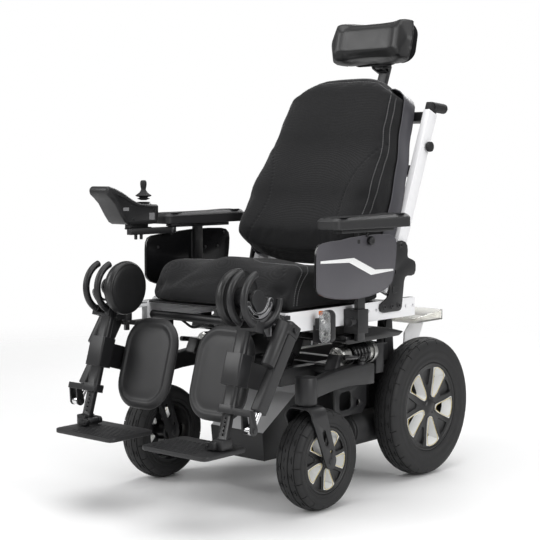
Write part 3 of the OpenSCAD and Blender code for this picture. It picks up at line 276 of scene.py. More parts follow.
greyRub = {"width": 0.0018, "amount": 0.5, "colour": (0.16, 0.16, 0.165)}
finish = {
    # the knit's lit colour is a painted highlight on the raised loops
    "knit": makeFinish("knitCover", (0.0060, 0.0060, 0.0066), (0.0048, 0.0048, 0.0053), (0.86, 0.95),
                       knit={"perMetre": 480, "lit": (0.016, 0.016, 0.0172), "strength": 0.5,
                             "depth": 0.0004},
                       toneScale=5, Sheen_Weight=0.10, Sheen_Roughness=0.45, Specular_IOR_Level=0.25),
    "leather": makeFinish("softLeather", (0.0085, 0.0085, 0.009), (0.0060, 0.0060, 0.0065), (0.30, 0.44),
                          grain={"scale": 620, "pebble": 1.3, "strength": 0.25, "depth": 0.0005},
                          toneScale=14, Specular_IOR_Level=0.5),
    "foam": makeFinish("foamSkin", (0.019, 0.019, 0.020), (0.015, 0.015, 0.016), (0.42, 0.52), toneScale=12,
                       grain={"scale": 1100, "pebble": 1.0, "strength": 0.22, "depth": 0.0003}),
    "thread": makeFinish("paleThread", (0.33, 0.33, 0.33), (0.25, 0.25, 0.26), (0.6, 0.8),
                         grain={"scale": 2500, "strength": 0.3, "depth": 0.0002}),
    "powder": makeFinish("blackPowder", (0.0125, 0.0125, 0.0135), (0.0095, 0.0095, 0.0105), (0.34, 0.46),
                         wear=greyRub, grain={"scale": 1400, "strength": 0.12, "depth": 0.0002}),
    "anthracite": makeFinish("anthracitePaint", (0.078, 0.075, 0.085), (0.068, 0.066, 0.075), (0.36, 0.46),
                             wear=greyRub, grain={"scale": 1600, "strength": 0.08, "depth": 0.0002}),
    "gloss": makeFinish("glossBlack", (0.0055, 0.0055, 0.006), (0.004, 0.004, 0.0045), (0.14, 0.22),
                        grain={"scale": 500, "strength": 0.04, "depth": 0.0002}),
    "plastic": makeFinish("satinPlastic", (0.0135, 0.0135, 0.0145), (0.0105, 0.0105, 0.0115), (0.40, 0.52),
                          grain={"scale": 1700, "pebble": 0.4, "strength": 0.15, "depth": 0.0002}),
    "white": makeFinish("whiteCoat", (0.86, 0.86, 0.87), (0.81, 0.81, 0.825), (0.30, 0.42), toneScale=4,
                        wear={"width": 0.0015, "amount": 0.35, "colour": (0.55, 0.55, 0.56)},
                        grain={"scale": 1300, "strength": 0.05, "depth": 0.0002}),
    "shell": makeFinish("greyShell", (0.072, 0.071, 0.080), (0.060, 0.059, 0.068), (0.32, 0.42), metal=0.25,
                        grain={"scale": 1500, "strength": 0.05, "depth": 0.0002}),
    "silver": makeFinish("silverCoat", (0.42, 0.42, 0.43), (0.36, 0.36, 0.37), (0.32, 0.44), metal=0.55,
                         wear={"width": 0.0012, "amount": 0.4, "colour": (0.8, 0.8, 0.8)},
                         grain={"scale": 1500, "strength": 0.06, "depth": 0.0002}),
    "paleGrey": makeFinish("paleGreyCoat", (0.60, 0.60, 0.61), (0.52, 0.52, 0.53), (0.28, 0.40), toneScale=5,
                           wear={"width": 0.0012, "amount": 0.3, "colour": (0.8, 0.8, 0.8)},
                           grain={"scale": 1500, "strength": 0.05, "depth": 0.0002}),
    "zinc": makeFinish("zincPlate", (0.62, 0.62, 0.60), (0.48, 0.48, 0.46), (0.18, 0.36), metal=1.0,
                       grain={"scale": 800, "strength": 0.08, "depth": 0.0002}),
    "chrome": makeFinish("polishedSteel", (0.75, 0.75, 0.76), (0.62, 0.62, 0.63), (0.07, 0.16), metal=1.0,
                         grain={"scale": 300, "strength": 0.02, "depth": 0.0002}),
    "rubber": makeFinish("tyreRubber", (0.0075, 0.0075, 0.0080), (0.0110, 0.0110, 0.0116), (0.60, 0.74),
                         toneScale=22, grain={"scale": 1500, "strength": 0.2, "depth": 0.0003}),
    "rim": makeFinish("rimBlack", (0.0085, 0.0085, 0.009), (0.0065, 0.0065, 0.007), (0.34, 0.46),
                      wear=greyRub, grain={"scale": 1500, "strength": 0.08, "depth": 0.0002}),
    "insert": makeFinish("whiteInsert", (0.86, 0.865, 0.86), (0.80, 0.805, 0.80), (0.20, 0.32), toneScale=30,
                         grain={"scale": 900, "strength": 0.04, "depth": 0.0002}),
    "amberEdge": makeFinish("yellowEdge", (0.62, 0.50, 0.16), (0.50, 0.38, 0.10), (0.25, 0.4),
                            grain={"scale": 900, "strength": 0.04, "depth": 0.0002}),
    "amber": makeFinish("amberLens", (0.95, 0.24, 0.02), (0.85, 0.18, 0.01), (0.15, 0.25),
                        grain={"scale": 400, "strength": 0.1, "depth": 0.0003}),
    "redStrip": makeFinish("redBrownStrip", (0.085, 0.014, 0.008), (0.06, 0.01, 0.006), (0.35, 0.5),
                           grain={"scale": 900, "strength": 0.1, "depth": 0.0002}),
    "cable": makeFinish("cableSheath", (0.010, 0.010, 0.0105), (0.008, 0.008, 0.0085), (0.4, 0.55),
                        grain={"scale": 1200, "strength": 0.1, "depth": 0.0002}),
    "motor": makeFinish("castMotor", (0.016, 0.016, 0.017), (0.012, 0.012, 0.013), (0.45, 0.6), wear=greyRub,
                        grain={"scale": 700, "pebble": 0.6, "strength": 0.25, "depth": 0.0003}),
    "motorCap": makeFinish("greyMotorCap", (0.30, 0.29, 0.30), (0.24, 0.23, 0.24), (0.4, 0.55), metal=0.3,
                           grain={"scale": 900, "strength": 0.08, "depth": 0.0002}),
    "green": makeFinish("buttonGreen", (0.03, 0.13, 0.055), (0.02, 0.10, 0.04), (0.35, 0.45),
                        grain={"scale": 900, "strength": 0.08, "depth": 0.0002}),
    "acrylic": makeFinish("clearAcrylic", (0.97, 0.965, 0.93), (0.94, 0.93, 0.88), (0.03, 0.07),
                          grain={"scale": 60, "strength": 0.02, "depth": 0.0003},
                          Transmission_Weight=0.92, IOR=1.3),
    "lens": makeFinish("lightLens", (0.95, 0.96, 0.97), (0.9, 0.91, 0.93), (0.03, 0.06),
                       grain={"scale": 250, "strength": 0.12, "depth": 0.0004},
                       Transmission_Weight=0.85, IOR=1.35),
}
print("finishes mixed:", len(finish))


# Bench helpers: the moves used for every piece
def pick(obj):
    bpy.ops.object.select_all(action="DESELECT")
    obj.select_set(True)
    bpy.context.view_layer.objects.active = obj


def settle(obj):
    pick(obj)
    bpy.ops.object.transform_apply(location=True, rotation=True, scale=True)
    return obj


def openFaces(obj, test):
    pick(obj)
    bpy.ops.object.mode_set(mode="EDIT")
    bpy.ops.mesh.select_mode(type="FACE")
    bpy.ops.mesh.select_all(action="DESELECT")
    bpy.ops.object.mode_set(mode="OBJECT")
    for face in obj.data.polygons:
        face.select = bool(test(face.center, face.normal))
    bpy.ops.object.mode_set(mode="EDIT")


def closeEdit():
    bpy.ops.object.mode_set(mode="OBJECT")


def cleanShell(obj, gap=0.00002):
    pick(obj)
    bpy.ops.object.mode_set(mode="EDIT")
    bpy.ops.mesh.select_all(action="SELECT")
    bpy.ops.mesh.remove_doubles(threshold=gap)
    bpy.ops.mesh.normals_make_consistent(inside=False)
    closeEdit()
    return obj


def roundOff(obj, width, segments=2, angle=30, clamp=False):
    pick(obj)
    bevel = obj.modifiers.new("edges", "BEVEL")
    bevel.width = width
    bevel.segments = segments
    bevel.limit_method = "ANGLE"
    bevel.angle_limit = math.radians(angle)
    bevel.use_clamp_overlap = clamp
    bpy.ops.object.modifier_apply(modifier=bevel.name)
    return obj


def smoothOut(obj, levels=1):
    pick(obj)
    subdivision = obj.modifiers.new("smooth", "SUBSURF")
    subdivision.levels = subdivision.render_levels = levels
    bpy.ops.object.modifier_apply(modifier=subdivision.name)
    return obj


def shade(obj, angle=35):
    pick(obj)
    bpy.ops.object.shade_smooth_by_angle(angle=math.radians(angle))
    return obj


def block(size, centre, width=0.001, segments=2):
    bpy.ops.object.select_all(action="DESELECT")
    bpy.ops.mesh.primitive_cube_add(size=1, location=centre, scale=size)
    obj = settle(bpy.context.object)
    return roundOff(obj, width, segments) if width else obj


axisTurn = {"x": (0, math.pi / 2, 0), "y": (-math.pi / 2, 0, 0), "z": (0, 0, 0)}


def turn(profile, centre, axis="x", steps=48):
    bpy.ops.object.select_all(action="DESELECT")
    bpy.ops.mesh.primitive_circle_add(vertices=len(profile), radius=0.01, fill_type="NOTHING")
    obj = bpy.context.object
    for vert, (radius, along) in zip(obj.data.vertices, profile):
        vert.co = (radius, 0, along)
    bpy.ops.object.mode_set(mode="EDIT")
    bpy.ops.mesh.select_all(action="SELECT")
    bpy.ops.mesh.spin(steps=steps, dupli=False, angle=2 * math.pi, center=(0, 0, 0), axis=(0, 0, 1))
    closeEdit()
    cleanShell(obj)
    obj.rotation_euler = axisTurn[axis]
    obj.location = centre
    return settle(obj)


def plate(outline, start, thickness, plane="x", width=0.001, segments=2, angle=30):
    bpy.ops.object.select_all(action="DESELECT")
    bpy.ops.mesh.primitive_circle_add(vertices=len(outline), radius=0.01, fill_type="NGON")
    obj = bpy.context.object
    for vert, (u, v) in zip(obj.data.vertices, outline):
        vert.co = {"x": (start, u, v), "y": (u, start, v), "z": (u, v, start)}[plane]
    move = {"x": (thickness, 0, 0), "y": (0, thickness, 0), "z": (0, 0, thickness)}[plane]
    bpy.ops.object.mode_set(mode="EDIT")
    bpy.ops.mesh.select_all(action="SELECT")
    bpy.ops.mesh.extrude_region_move(TRANSFORM_OT_translate={"value": move})
    closeEdit()
    cleanShell(obj)
    return roundOff(obj, width, segments, angle) if width else obj


def cutWith(obj, *cutters):
    for cutter in cutters:
        pick(obj)
        hole = obj.modifiers.new("hole", "BOOLEAN")
        hole.operation = "DIFFERENCE"
        hole.solver = "EXACT"
        hole.object = cutter
        bpy.ops.object.modifier_apply(modifier=hole.name)
        bpy.data.objects.remove(cutter)
    return obj


def rod(points, radius, sides=10, steps=6, radii=None):
    bpy.ops.object.select_all(action="DESELECT")
    bpy.ops.curve.primitive_nurbs_path_add()
    obj = bpy.context.object
    curve = obj.data
    curve.splines.clear()
    spline = curve.splines.new("BEZIER" if len(points) < 3 else "NURBS")
    if spline.type == "BEZIER":
        spline.bezier_points.add(len(points) - 1)
        for knot, point in zip(spline.bezier_points, points):
            knot.co = point
            knot.handle_left_type = knot.handle_right_type = "VECTOR"
    else:
        spline.points.add(len(points) - 1)
        for index, point in enumerate(points):
            spline.points[index].co = (*point, 1)
            if radii:
                spline.points[index].radius = radii[index]
        spline.order_u = 3 if len(points) < 4 else 4
        spline.use_endpoint_u = True
    spline.resolution_u = steps
    curve.dimensions = "3D"
    curve.bevel_depth = radius
    curve.bevel_resolution = max(1, sides // 4)
    curve.use_fill_caps = True
    obj.location = (0, 0, 0)
    pick(obj)
    bpy.ops.object.convert(target="MESH")
    return cleanShell(bpy.context.object)


def group(pieces, name=None):
    pick(pieces[0])
    for piece in pieces[1:]:
        piece.select_set(True)
    if len(pieces) > 1:
        bpy.ops.object.join()
    obj = bpy.context.object
    if name:
        obj.name = obj.data.name = name
    return obj


def coat(obj, key, angle=None):
    obj.data.materials.clear()
    obj.data.materials.append(finish[key])
    return shade(obj, angle) if angle else obj


def coatWhere(obj, key, test):
    obj.data.materials.append(finish[key])
    index = len(obj.data.materials) - 1
    for face in obj.data.polygons:
        if test(face.center, face.normal):
            face.material_index = index
    return obj


def mirrored(obj, name):
    twin = obj.copy()
    twin.data = obj.data.copy()
    twin.name = twin.data.name = name
    bpy.context.scene.collection.objects.link(twin)
    twin.data.transform(Matrix.Scale(-1, 4, (1, 0, 0)))
    twin.data.flip_normals()
    return twin


legFrame = Matrix.Translation((0, *place["knee"])) @ Matrix.Rotation(-place["legLean"], 4, "X")
backFrame = Matrix.Translation((0, *place["recline"])) @ Matrix.Rotation(-place["backLean"], 4, "X")


def roundedOutline(width, height, radius, centre=(0, 0), steps=6):
    outline = []
    for cx, cy, first in ((1, 1, 0), (-1, 1, 90), (-1, -1, 180), (1, -1, 270)):
        for k in range(steps + 1):
            a = math.radians(first + 90 * k / steps)
            outline.append((centre[0] + cx * (width / 2 - radius) + radius * math.cos(a),
                            centre[1] + cy * (height / 2 - radius) + radius * math.sin(a)))
    return outline


def fromNode(node, width=0.0008, segments=2):
    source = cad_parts[node]
    obj = source.copy()
    obj.data = source.data.copy()
    obj.parent = None
    for label in list(obj.keys()):
        del obj[label]
    obj.hide_render = obj.hide_viewport = False
    obj.name = obj.data.name = node + "Finished"
    bpy.context.scene.collection.objects.link(obj)
    skin = BVHTree.FromPolygons([v.co.copy() for v in obj.data.vertices],
                                [tuple(face.vertices) for face in obj.data.polygons])
    cleanShell(obj, 0.00001)
    pick(obj)
    bpy.ops.object.mode_set(mode="EDIT")
    bpy.ops.mesh.select_all(action="SELECT")
    bpy.ops.mesh.dissolve_limited(angle_limit=math.radians(1.5))
    closeEdit()
    if width:
        roundOff(obj, width, segments, 32)
        for vert in obj.data.vertices:      # where two edges run close together the bevel can throw a spike
            nearest, normal, index, away = skin.find_nearest(vert.co)
            if away > width:
                vert.co = nearest
    return shade(obj, 30)


def mount(obj, body, name=None, stands=()):
    if name:
        obj.name = obj.data.name = name
    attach(obj, body)
    if stands:
        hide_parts(*stands)
    return obj


# The twin on the right is mirrored across x; where all its stands are left nodes it takes the right body and
# hides the right nodes, otherwise it shares the body
def mountPair(obj, body, name=None, stands=()):
    if name:
        obj.name = obj.data.name = name + "Left"
    twin = mirrored(obj, obj.name.replace("Left", "Right").replace("left", "right"))
    mount(obj, body, stands=stands)
    if all("left" in node for node in stands):
        others = [node.replace("left", "right") for node in stands]
        mount(twin, body.replace("left", "right"), stands=others)
    else:
        mount(twin, body)
    return twin

# Cables under the front of the seat: both ends go into the seat's frame
cableSettings = {
    "diameter": 0.006,
    "loom": [(-0.150, -0.196, 0.424), (-0.120, -0.192, 0.410), (-0.092, -0.188, 0.396),
             (-0.062, -0.190, 0.402), (-0.036, -0.194, 0.416), (-0.008, -0.196, 0.421)],
    "loop": [(0.010, -0.188, 0.421), (0.034, -0.184, 0.404), (0.062, -0.182, 0.392), (0.092, -0.184, 0.393),
             (0.118, -0.188, 0.406), (0.140, -0.190, 0.423)],
}


def alongRoute(points, steps):
    ends = [[2 * a - b for a, b in zip(points[0], points[1])], *points,
            [2 * a - b for a, b in zip(points[-1], points[-2])]]
    route = []
    for i in range(len(points) - 1):
        for j in range(steps):
            t = j / steps
            route.append(tuple(0.5 * (2 * b + (c - a) * t + (2 * a - 5 * b + 4 * c - d) * t * t
                                      + (3 * b - 3 * c + d - a) * t ** 3)
                               for a, b, c, d in zip(*ends[i:i + 4])))
    return route + [tuple(points[-1])]


for key, name in (("loom", "seatLoom"), ("loop", "seatLoop")):
    route = alongRoute(cableSettings[key], 5)
    bpy.ops.curve.primitive_nurbs_path_add()
    cable = bpy.context.object
    cable.location = (0, 0, 0)
    cable.name = cable.data.name = name
    cable.data.splines.clear()
    spline = cable.data.splines.new("POLY")
    spline.points.add(len(route) - 1)
    for knot, point in zip(spline.points, route):
        knot.co = (*point, 1)
    cable.data.dimensions = "3D"
    cable.data.bevel_depth = cableSettings["diameter"] / 2
    cable.data.bevel_resolution = 3
    cable.data.use_fill_caps = True
    cable.data.materials.append(finish["cable"])
    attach(cable, "seat")
    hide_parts("cables")

# Wheels
driveWheel = {"axle": place["driveAxle"], "radius": 0.175, "rimRadius": 0.112, "half": 0.033, "hub": 0.026,
              "pitches": 26, "cells": 22, "windowTurn": 63, "body": "drive_wheel_left", "label": "drive"}
casterWheel = {"axle": place["casterAxle"], "radius": 0.117, "rimRadius": 0.077, "half": 0.035, "hub": 0.020,
               "pitches": 18, "cells": 20, "windowTurn": 63, "body": "caster_wheel_left", "label": "caster"}
treadSettings = {"lineOne": (0.0080, 0.0100), "lineTwo": (0.0222, 0.0244), "depth": 0.0024}


def tyreProfile(wheel):
    half, top, bead = wheel["half"], wheel["radius"], wheel["rimRadius"] + 0.0004
    wall = top - bead
    across = [0, 0.0012, 0.0045, 0.0080, 0.0100, 0.0122, 0.0150, 0.0175, 0.0198, 0.0222, 0.0244, 0.0265]
    side = [(x, top - x * x / 0.105) for x in across]
    edge = side[-1][1]
    side += [(half * 0.86, edge - 0.0022), (half * 0.92, edge - 0.0052), (half * 0.965, edge - 0.0092),
             (half * 0.99, edge - 0.0142), (half, top - wall * 0.44), (half * 0.985, top - wall * 0.53),
             (half * 0.998, top - wall * 0.545), (half * 0.955, top - wall * 0.68),
             (half * 0.90, top - wall * 0.80), (half * 0.925, top - wall * 0.84),
             (half * 0.90, bead + 0.0035), (half * 0.84, bead)]
    right = [(r, x) for x, r in side]
    left = [(r, -x) for x, r in side[:0:-1]]
    return right + left


def makeTyre(wheel):
    steps = wheel["pitches"] * wheel["cells"]
    cx, cy, cz = wheel["axle"]
    lineOne, lineTwo = treadSettings["lineOne"], treadSettings["lineTwo"]
    tyre = turn(tyreProfile(wheel), wheel["axle"], "x", steps)

    def isCut(centre, normal):
        x = abs(centre.x - cx)
        down = wheel["radius"] - math.hypot(centre.y - cy, centre.z - cz)
        if down > 0.0165 or x > wheel["half"] * 0.985:
            return False
        phase = (math.atan2(centre.z - cz, centre.y - cy) / (2 * math.pi) * wheel["pitches"]) % 1.0
        if centre.x < cx:
            phase = (phase + 0.5) % 1.0
        line = lineOne[0] < x < lineOne[1] or lineTwo[0] < x < lineTwo[1]
        dash = x < 0.0012 and (0.05 < phase < 0.22 or 0.45 < phase < 0.62)
        lean = phase - (x - 0.015) * 9
        letter = 0.0122 < x < 0.0198 and 0.48 < lean < 0.53
        letter = letter or ((0.0100 < x < 0.0122 or 0.0175 < x < 0.0198) and 0.32 < lean < 0.70)
        tick = x > 0.0198 and 0.02 < phase < 0.065
        return line or dash or letter or tick

    openFaces(tyre, isCut)
    bpy.ops.mesh.extrude_region_shrink_fatten(TRANSFORM_OT_shrink_fatten={"value": -treadSettings["depth"]})
    closeEdit()
    coat(tyre, "rubber", 40)
    tyre.name = tyre.data.name = wheel["label"] + "TyreLeft"
    return tyre


def polar(r, degrees, centre):
    a = math.radians(degrees)
    return (centre[0] + r * math.cos(a), centre[1] + r * math.sin(a))


def windowOutline(wheel, k, grow=1.0):
    reach, turnBy = wheel["rimRadius"] - 0.0085, wheel["windowTurn"] + 72 * k
    centre = wheel["axle"][1:]
    corners = [(0.29, -14), (0.42, -18), (0.66, -17), (0.95, -16), (0.975, -8), (0.98, 0), (0.975, 8),
               (0.95, 16), (0.66, 13.5), (0.42, 12), (0.29, 8), (0.265, -3)]
    outline = [polar(reach * share, turnBy + turnOff, centre) for share, turnOff in corners]
    middle = polar(reach * 0.66, turnBy - 1, centre)
    return [(middle[0] + (y - middle[0]) * grow, middle[1] + (z - middle[1]) * grow) for y, z in outline]


def makeRim(wheel):
    cx, cy, cz = wheel["axle"]
    outer, hub, half = wheel["rimRadius"], wheel["hub"], wheel["half"] - 0.006
    face = half - 0.003
    lip = outer - 0.0002
    section = [(0, -half), (hub, -half), (hub + 0.002, -half + 0.003), (hub + 0.003, face - 0.016),
               (outer - 0.014, face - 0.014), (outer - 0.011, -half + 0.010), (outer - 0.008, -half),
               (lip, -half), (lip, -half + 0.003), (outer - 0.004, -half + 0.006),
               (outer - 0.0045, half - 0.006),
               (lip, half - 0.003), (lip, half), (outer - 0.0035, half + 0.0012), (outer - 0.0062, half),
               (outer - 0.0078, face), (outer * 0.62, face - 0.0012), (hub + 0.004, face - 0.0025),
               (hub - 0.001, face - 0.0005), (hub * 0.70, face + 0.0006), (hub * 0.62, face + 0.0026),
               (hub * 0.35, face + 0.0044), (0, face + 0.005)]
    body = turn(section, wheel["axle"], "x", 96)
    cutters = [plate(windowOutline(wheel, k, 1.03), cx + face - 0.030, 0.05, "x", 0) for k in range(5)]
    for k in range(5):
        turnBy = wheel["windowTurn"] + 36 + 72 * k
        pocket = [polar(outer * share, turnBy + lean, (cy, cz)) for share, lean in
                  ((0.50, -5), (0.86, -12), (0.875, 0), (0.86, 12), (0.50, 5))]
        cutters.append(plate(pocket, cx + face - 0.0055, 0.02, "x", 0))
    cutWith(body, *cutters)
    roundOff(body, 0.0009, 2, 34)
    stud = [(0, -0.003), (0.0026, -0.003), (0.0026, 0.0012), (0.0019, 0.0019), (0.0012, 0.0019),
            (0.0012, 0.0006), (0, 0.0006)]
    studs = []
    for k in range(5):
        y, z = polar(hub * 0.84, 90 + 72 * k, (cy, cz))
        studs.append(turn(stud, (cx + face - 0.0006, y, z), "x", 12))
    return coat(group([body, *studs], wheel["label"] + "RimLeft"), "rim", 30)


def makeFunnels(wheel):
    cx, half = wheel["axle"][0], wheel["half"] - 0.006
    face = cx + half - 0.003
    funnels, edges = [], []
    for k in range(5):
        mouth = windowOutline(wheel, k)
        funnel = plate(mouth, face + 0.0012, -0.002, "x", 0)
        count = len(mouth)
        inner = windowOutline(wheel, k, 0.66)
        pick(funnel)
        openFaces(funnel, lambda c, n: n.x < -0.9)
        bpy.ops.mesh.extrude_region_move(TRANSFORM_OT_translate={"value": (-0.021, 0, 0)})
        closeEdit()
        deep = min(v.co.x for v in funnel.data.vertices)
        for vert in funnel.data.vertices:
            if vert.co.x < deep + 0.0005:
                near = min(range(count), key=lambda i: math.dist((vert.co.y, vert.co.z), mouth[i]))
                vert.co.y, vert.co.z = inner[near]
        openFaces(funnel, lambda c, n: abs(n.x) > 0.97)
        bpy.ops.mesh.delete(type="FACE")
        closeEdit()
        pick(funnel)
        wall = funnel.modifiers.new("wall", "SOLIDIFY")
        wall.thickness, wall.offset = 0.0016, 1
        bpy.ops.object.modifier_apply(modifier=wall.name)
        cleanShell(funnel, 0.000005)
        funnels.append(funnel)
        rimLine = [(face + 0.0013, y, z) for y, z in windowOutline(wheel, k, 1.012)]
        edges.append(rod(rimLine + rimLine[:1], 0.0007, 6, 2))
    white = coat(group(funnels, wheel["label"] + "FunnelsLeft"), "insert", 25)
    yellow = coat(group(edges, wheel["label"] + "FunnelEdgesLeft"), "amberEdge", 40)
    return white, yellow


for wheel in (driveWheel, casterWheel):
    label = wheel["label"]
    mountPair(makeTyre(wheel), wheel["body"], stands=(label + "_tyre_left",))
    mountPair(makeRim(wheel), wheel["body"], stands=(label + "_rim_left",))
    for piece in makeFunnels(wheel):
        mountPair(piece, wheel["body"])
    print(label, "wheels made")

# Frame parts that keep the CAD shape, with their edges broken and finishes on
plainNodes = {
    # node: (body, finish, slot, edge width)
    "side_shrouds": ("base", "gloss", "black_coat", 0.0025),
    "drive_motors": ("base", "motor", "black_coat", 0.0018),
    "tilt_actuator_body": ("tilt_actuator", "plastic", "black_coat", 0.0018),
    "tilt_actuator_rod": ("tilt_screw", "chrome", "bright_steel", 0.0006),
    "headrest_post": ("headrest_post", "powder", "black_coat", 0.0010),
    "controller_arm": ("controller", "powder", "black_coat", 0.0018),
    "joystick_gimbal": ("gimbal", "zinc", "bright_steel", 0.0004),
    "power_button": ("button", "green", "button_green", 0.0012),
    "batteries": ("base", "plastic", "cell_case", 0.0020),
}
for node, (body, key, slot, width) in plainNodes.items():
    mount(coat(fromNode(node, width), key), body, stands=(node,))

# Back brackets: the plain plate is cut away, and one with its true outline is bolted in its place
bracket = {
    "x": 0.2306,
    "thick": 0.0060,
    "eye": (0.1850, 0.5240, 0.0050),    # y, z, radius
    "bolts": ((0.1395, 0.4400), (0.1710, 0.4402), (0.2005, 0.4404), (0.2075, 0.5880)),
    "outline": [(0.1910, 0.5860), (0.1950, 0.5945), (0.2030, 0.5990), (0.2150, 0.5990), (0.2290, 0.5950),
                (0.2370, 0.5860), (0.2390, 0.5750), (0.2380, 0.5620), (0.2410, 0.5560), (0.2600, 0.5500),
                (0.2700, 0.5450), (0.2740, 0.5360), (0.2735, 0.5220), (0.2680, 0.5130), (0.2560, 0.5100),
                (0.2380, 0.5110), (0.2290, 0.5080), (0.2240, 0.4980), (0.2150, 0.4350), (0.2100, 0.4285),
                (0.2020, 0.4265), (0.1400, 0.4265), (0.1290, 0.4300), (0.1245, 0.4380), (0.1270, 0.4480),
                (0.1400, 0.4540), (0.1560, 0.4620), (0.1660, 0.4800), (0.1720, 0.5050)],
}
railBrackets = fromNode("rail_brackets", 0.0009)
for across in (1, -1):
    middle = (across * (bracket["x"] + bracket["thick"] / 2 + 0.0026), 0.190, 0.512)
    cutWith(railBrackets, block((bracket["thick"] + 0.0056, 0.20, 0.22), middle, 0))
mount(coat(railBrackets, "powder"), "seat", stands=("rail_brackets",))
bracketPlate = plate(bracket["outline"], bracket["x"], bracket["thick"], "x", 0)
eyeY, eyeZ, eyeRadius = bracket["eye"]
eye = [polar(eyeRadius, a, (eyeY, eyeZ)) for a in range(0, 360, 20)]
cutWith(bracketPlate, plate(eye, bracket["x"] - 0.002, bracket["thick"] + 0.004, "x", 0))
roundOff(bracketPlate, 0.0008, 2, 30)
outside = bracket["x"] + bracket["thick"]
boltHead = [(0, outside - 0.001), (0.0065, outside - 0.001), (0.0066, outside + 0.0010),
            (0.0050, outside + 0.0030), (0.0030, outside + 0.0034), (0.0030, outside + 0.0010),
            (0, outside + 0.0010)]
pinHead = [(0, outside - 0.001), (0.0100, outside - 0.001), (0.0100, outside + 0.0018),
           (0.0088, outside + 0.0030), (0, outside + 0.0030)]
bracketParts = [bracketPlate]
bracketParts += [turn(boltHead, (0, y, z), "x", 20) for y, z in bracket["bolts"]]
bracketParts.append(turn(pinHead, (0, *place["recline"]), "x", 24))
mountPair(coat(group(bracketParts), "powder", 30), "seat", "backBracket")

batteryBox = coat(fromNode("battery_box", 0.0020), "plastic")
coatWhere(batteryBox, "paleGrey", lambda c, n: n.y < -0.5 and 0.154 < c.z < 0.252)
mount(batteryBox, "base", stands=("battery_box",))

chassis = coat(fromNode("chassis_frame", 0.0010), "powder")
coatWhere(chassis, "white", lambda c, n: abs(abs(c.x) - 0.1525) < 0.0035 and c.y > 0.34 and c.z > 0.30)
coatWhere(chassis, "zinc", lambda c, n: abs(c.x) > 0.186 and math.hypot(c.y - 0.096, c.z - 0.208) < 0.0085)
mount(chassis, "base", stands=("chassis_frame",))

seatFrame = coat(fromNode("seat_frame", 0.0010), "powder")
coatWhere(seatFrame, "white", lambda c, n: 0.2095 < abs(c.x) < 0.2305 and c.z > 0.408 and c.y > -0.2235)
mount(seatFrame, "seat", stands=("seat_frame",))

backTubes = coat(fromNode("back_frame", 0.0016), "white")
coatWhere(backTubes, "powder", lambda c, n: abs(c.x) < 0.208)
mount(backTubes, "back", stands=("back_frame",))

mount(coat(fromNode("rear_tray", 0.0008), "acrylic"), "base", stands=("rear_tray",))

pairedNodes = {
    "release_lever": ("lever", "gloss", "black_coat", 0.0012),
    "caster_fork": ("fork", "powder", "black_coat", 0.0009),
    "swing_arm": ("swing_arm", "plastic", "black_coat", 0.0028),
    "leg_tube": ("leg", "powder", "black_coat", 0.0008),
    "foot_tube": ("foot", "powder", "black_coat", 0.0010),
    "footplate": ("plate", "plastic", "black_coat", 0.0022),
    "leg_actuator_body": ("leg_actuator", "plastic", "black_coat", 0.0020),
    "leg_actuator_rod": ("leg_screw", "chrome", "bright_steel", 0.0006),
}
for node, (body, key, slot, width) in pairedNodes.items():
    piece = coat(fromNode(node + "_left", width), key)
    mountPair(piece, body + "_left", stands=(node + "_left",))

# The hanger's outer cheek is silver beyond the ring of the knee pin
hangerSides = {"inner": 0.2395, "outer": 0.2455, "ring": 0.0285}
hanger = coat(fromNode("legrest_hanger_left", 0.0008), "powder")
coatWhere(hanger, "silver", lambda c, n: hangerSides["inner"] < c.x < hangerSides["outer"]
          and math.dist((c.y, c.z), place["knee"]) > hangerSides["ring"])
mountPair(hanger, "hanger_left", stands=("legrest_hanger_left",))
print("frame parts finished")

# Soft goods
def cubeGrid(cuts):
    bpy.ops.object.select_all(action="DESELECT")
    bpy.ops.mesh.primitive_cube_add(size=2)
    obj = bpy.context.object
    bpy.ops.object.mode_set(mode="EDIT")
    bpy.ops.mesh.select_all(action="SELECT")
    bpy.ops.mesh.subdivide(number_cuts=cuts)
    closeEdit()
    return obj


def shapePad(obj, rule):
    for vert in obj.data.vertices:
        vert.co = rule(*vert.co)
    return obj


def plump(obj, voxel, pressure, cap, frames=20):
    pick(obj)
    remesh = obj.modifiers.new("even", "REMESH")
    remesh.mode = "VOXEL"
    remesh.voxel_size = voxel
    bpy.ops.object.modifier_apply(modifier=remesh.name)
    before = [v.co.copy() for v in obj.data.vertices]
    cloth = obj.modifiers.new("stuffing", "CLOTH")
    cloth.settings.use_pressure = True
    cloth.settings.uniform_pressure_force = pressure
    cloth.settings.tension_stiffness = cloth.settings.compression_stiffness = 40
    cloth.settings.bending_stiffness = 6
    cloth.settings.effector_weights.gravity = 0
    cloth.point_cache.frame_start, cloth.point_cache.frame_end = 1, frames
    for frameNumber in range(1, frames + 1):
        bpy.context.scene.frame_set(frameNumber)
    pick(obj)
    bpy.ops.object.modifier_apply(modifier=cloth.name)
    bpy.context.scene.frame_set(1)
    for vert, start in zip(obj.data.vertices, before):
        move = vert.co - start
        if move.length > cap:
            vert.co = start + move.normalized() * cap
    return smoothOut(obj, 1)


def onSurface(tree, points, ray):
    found = []
    for point in points:
        hit = tree.ray_cast(Vector(point) - Vector(ray) * 0.4, Vector(ray))
        if hit[0] is not None:
            found.append((hit[0], hit[1]))
    return found


def pressSeam(obj, lines, depth, width):
    knots = [p for line in lines for p, n in line]
    if not knots:
        return obj
    finder = KDTree(len(knots))
    for index, knot in enumerate(knots):
        finder.insert(knot, index)
    finder.balance()
    moves = []
    for vert in obj.data.vertices:
        knot, index, away = finder.find(vert.co)
        if away < width * 3:
            moves.append((vert, vert.normal.copy(), depth * math.exp(-(away / width) ** 2)))
    for vert, normal, push in moves:
        vert.co -= normal * push
    return obj


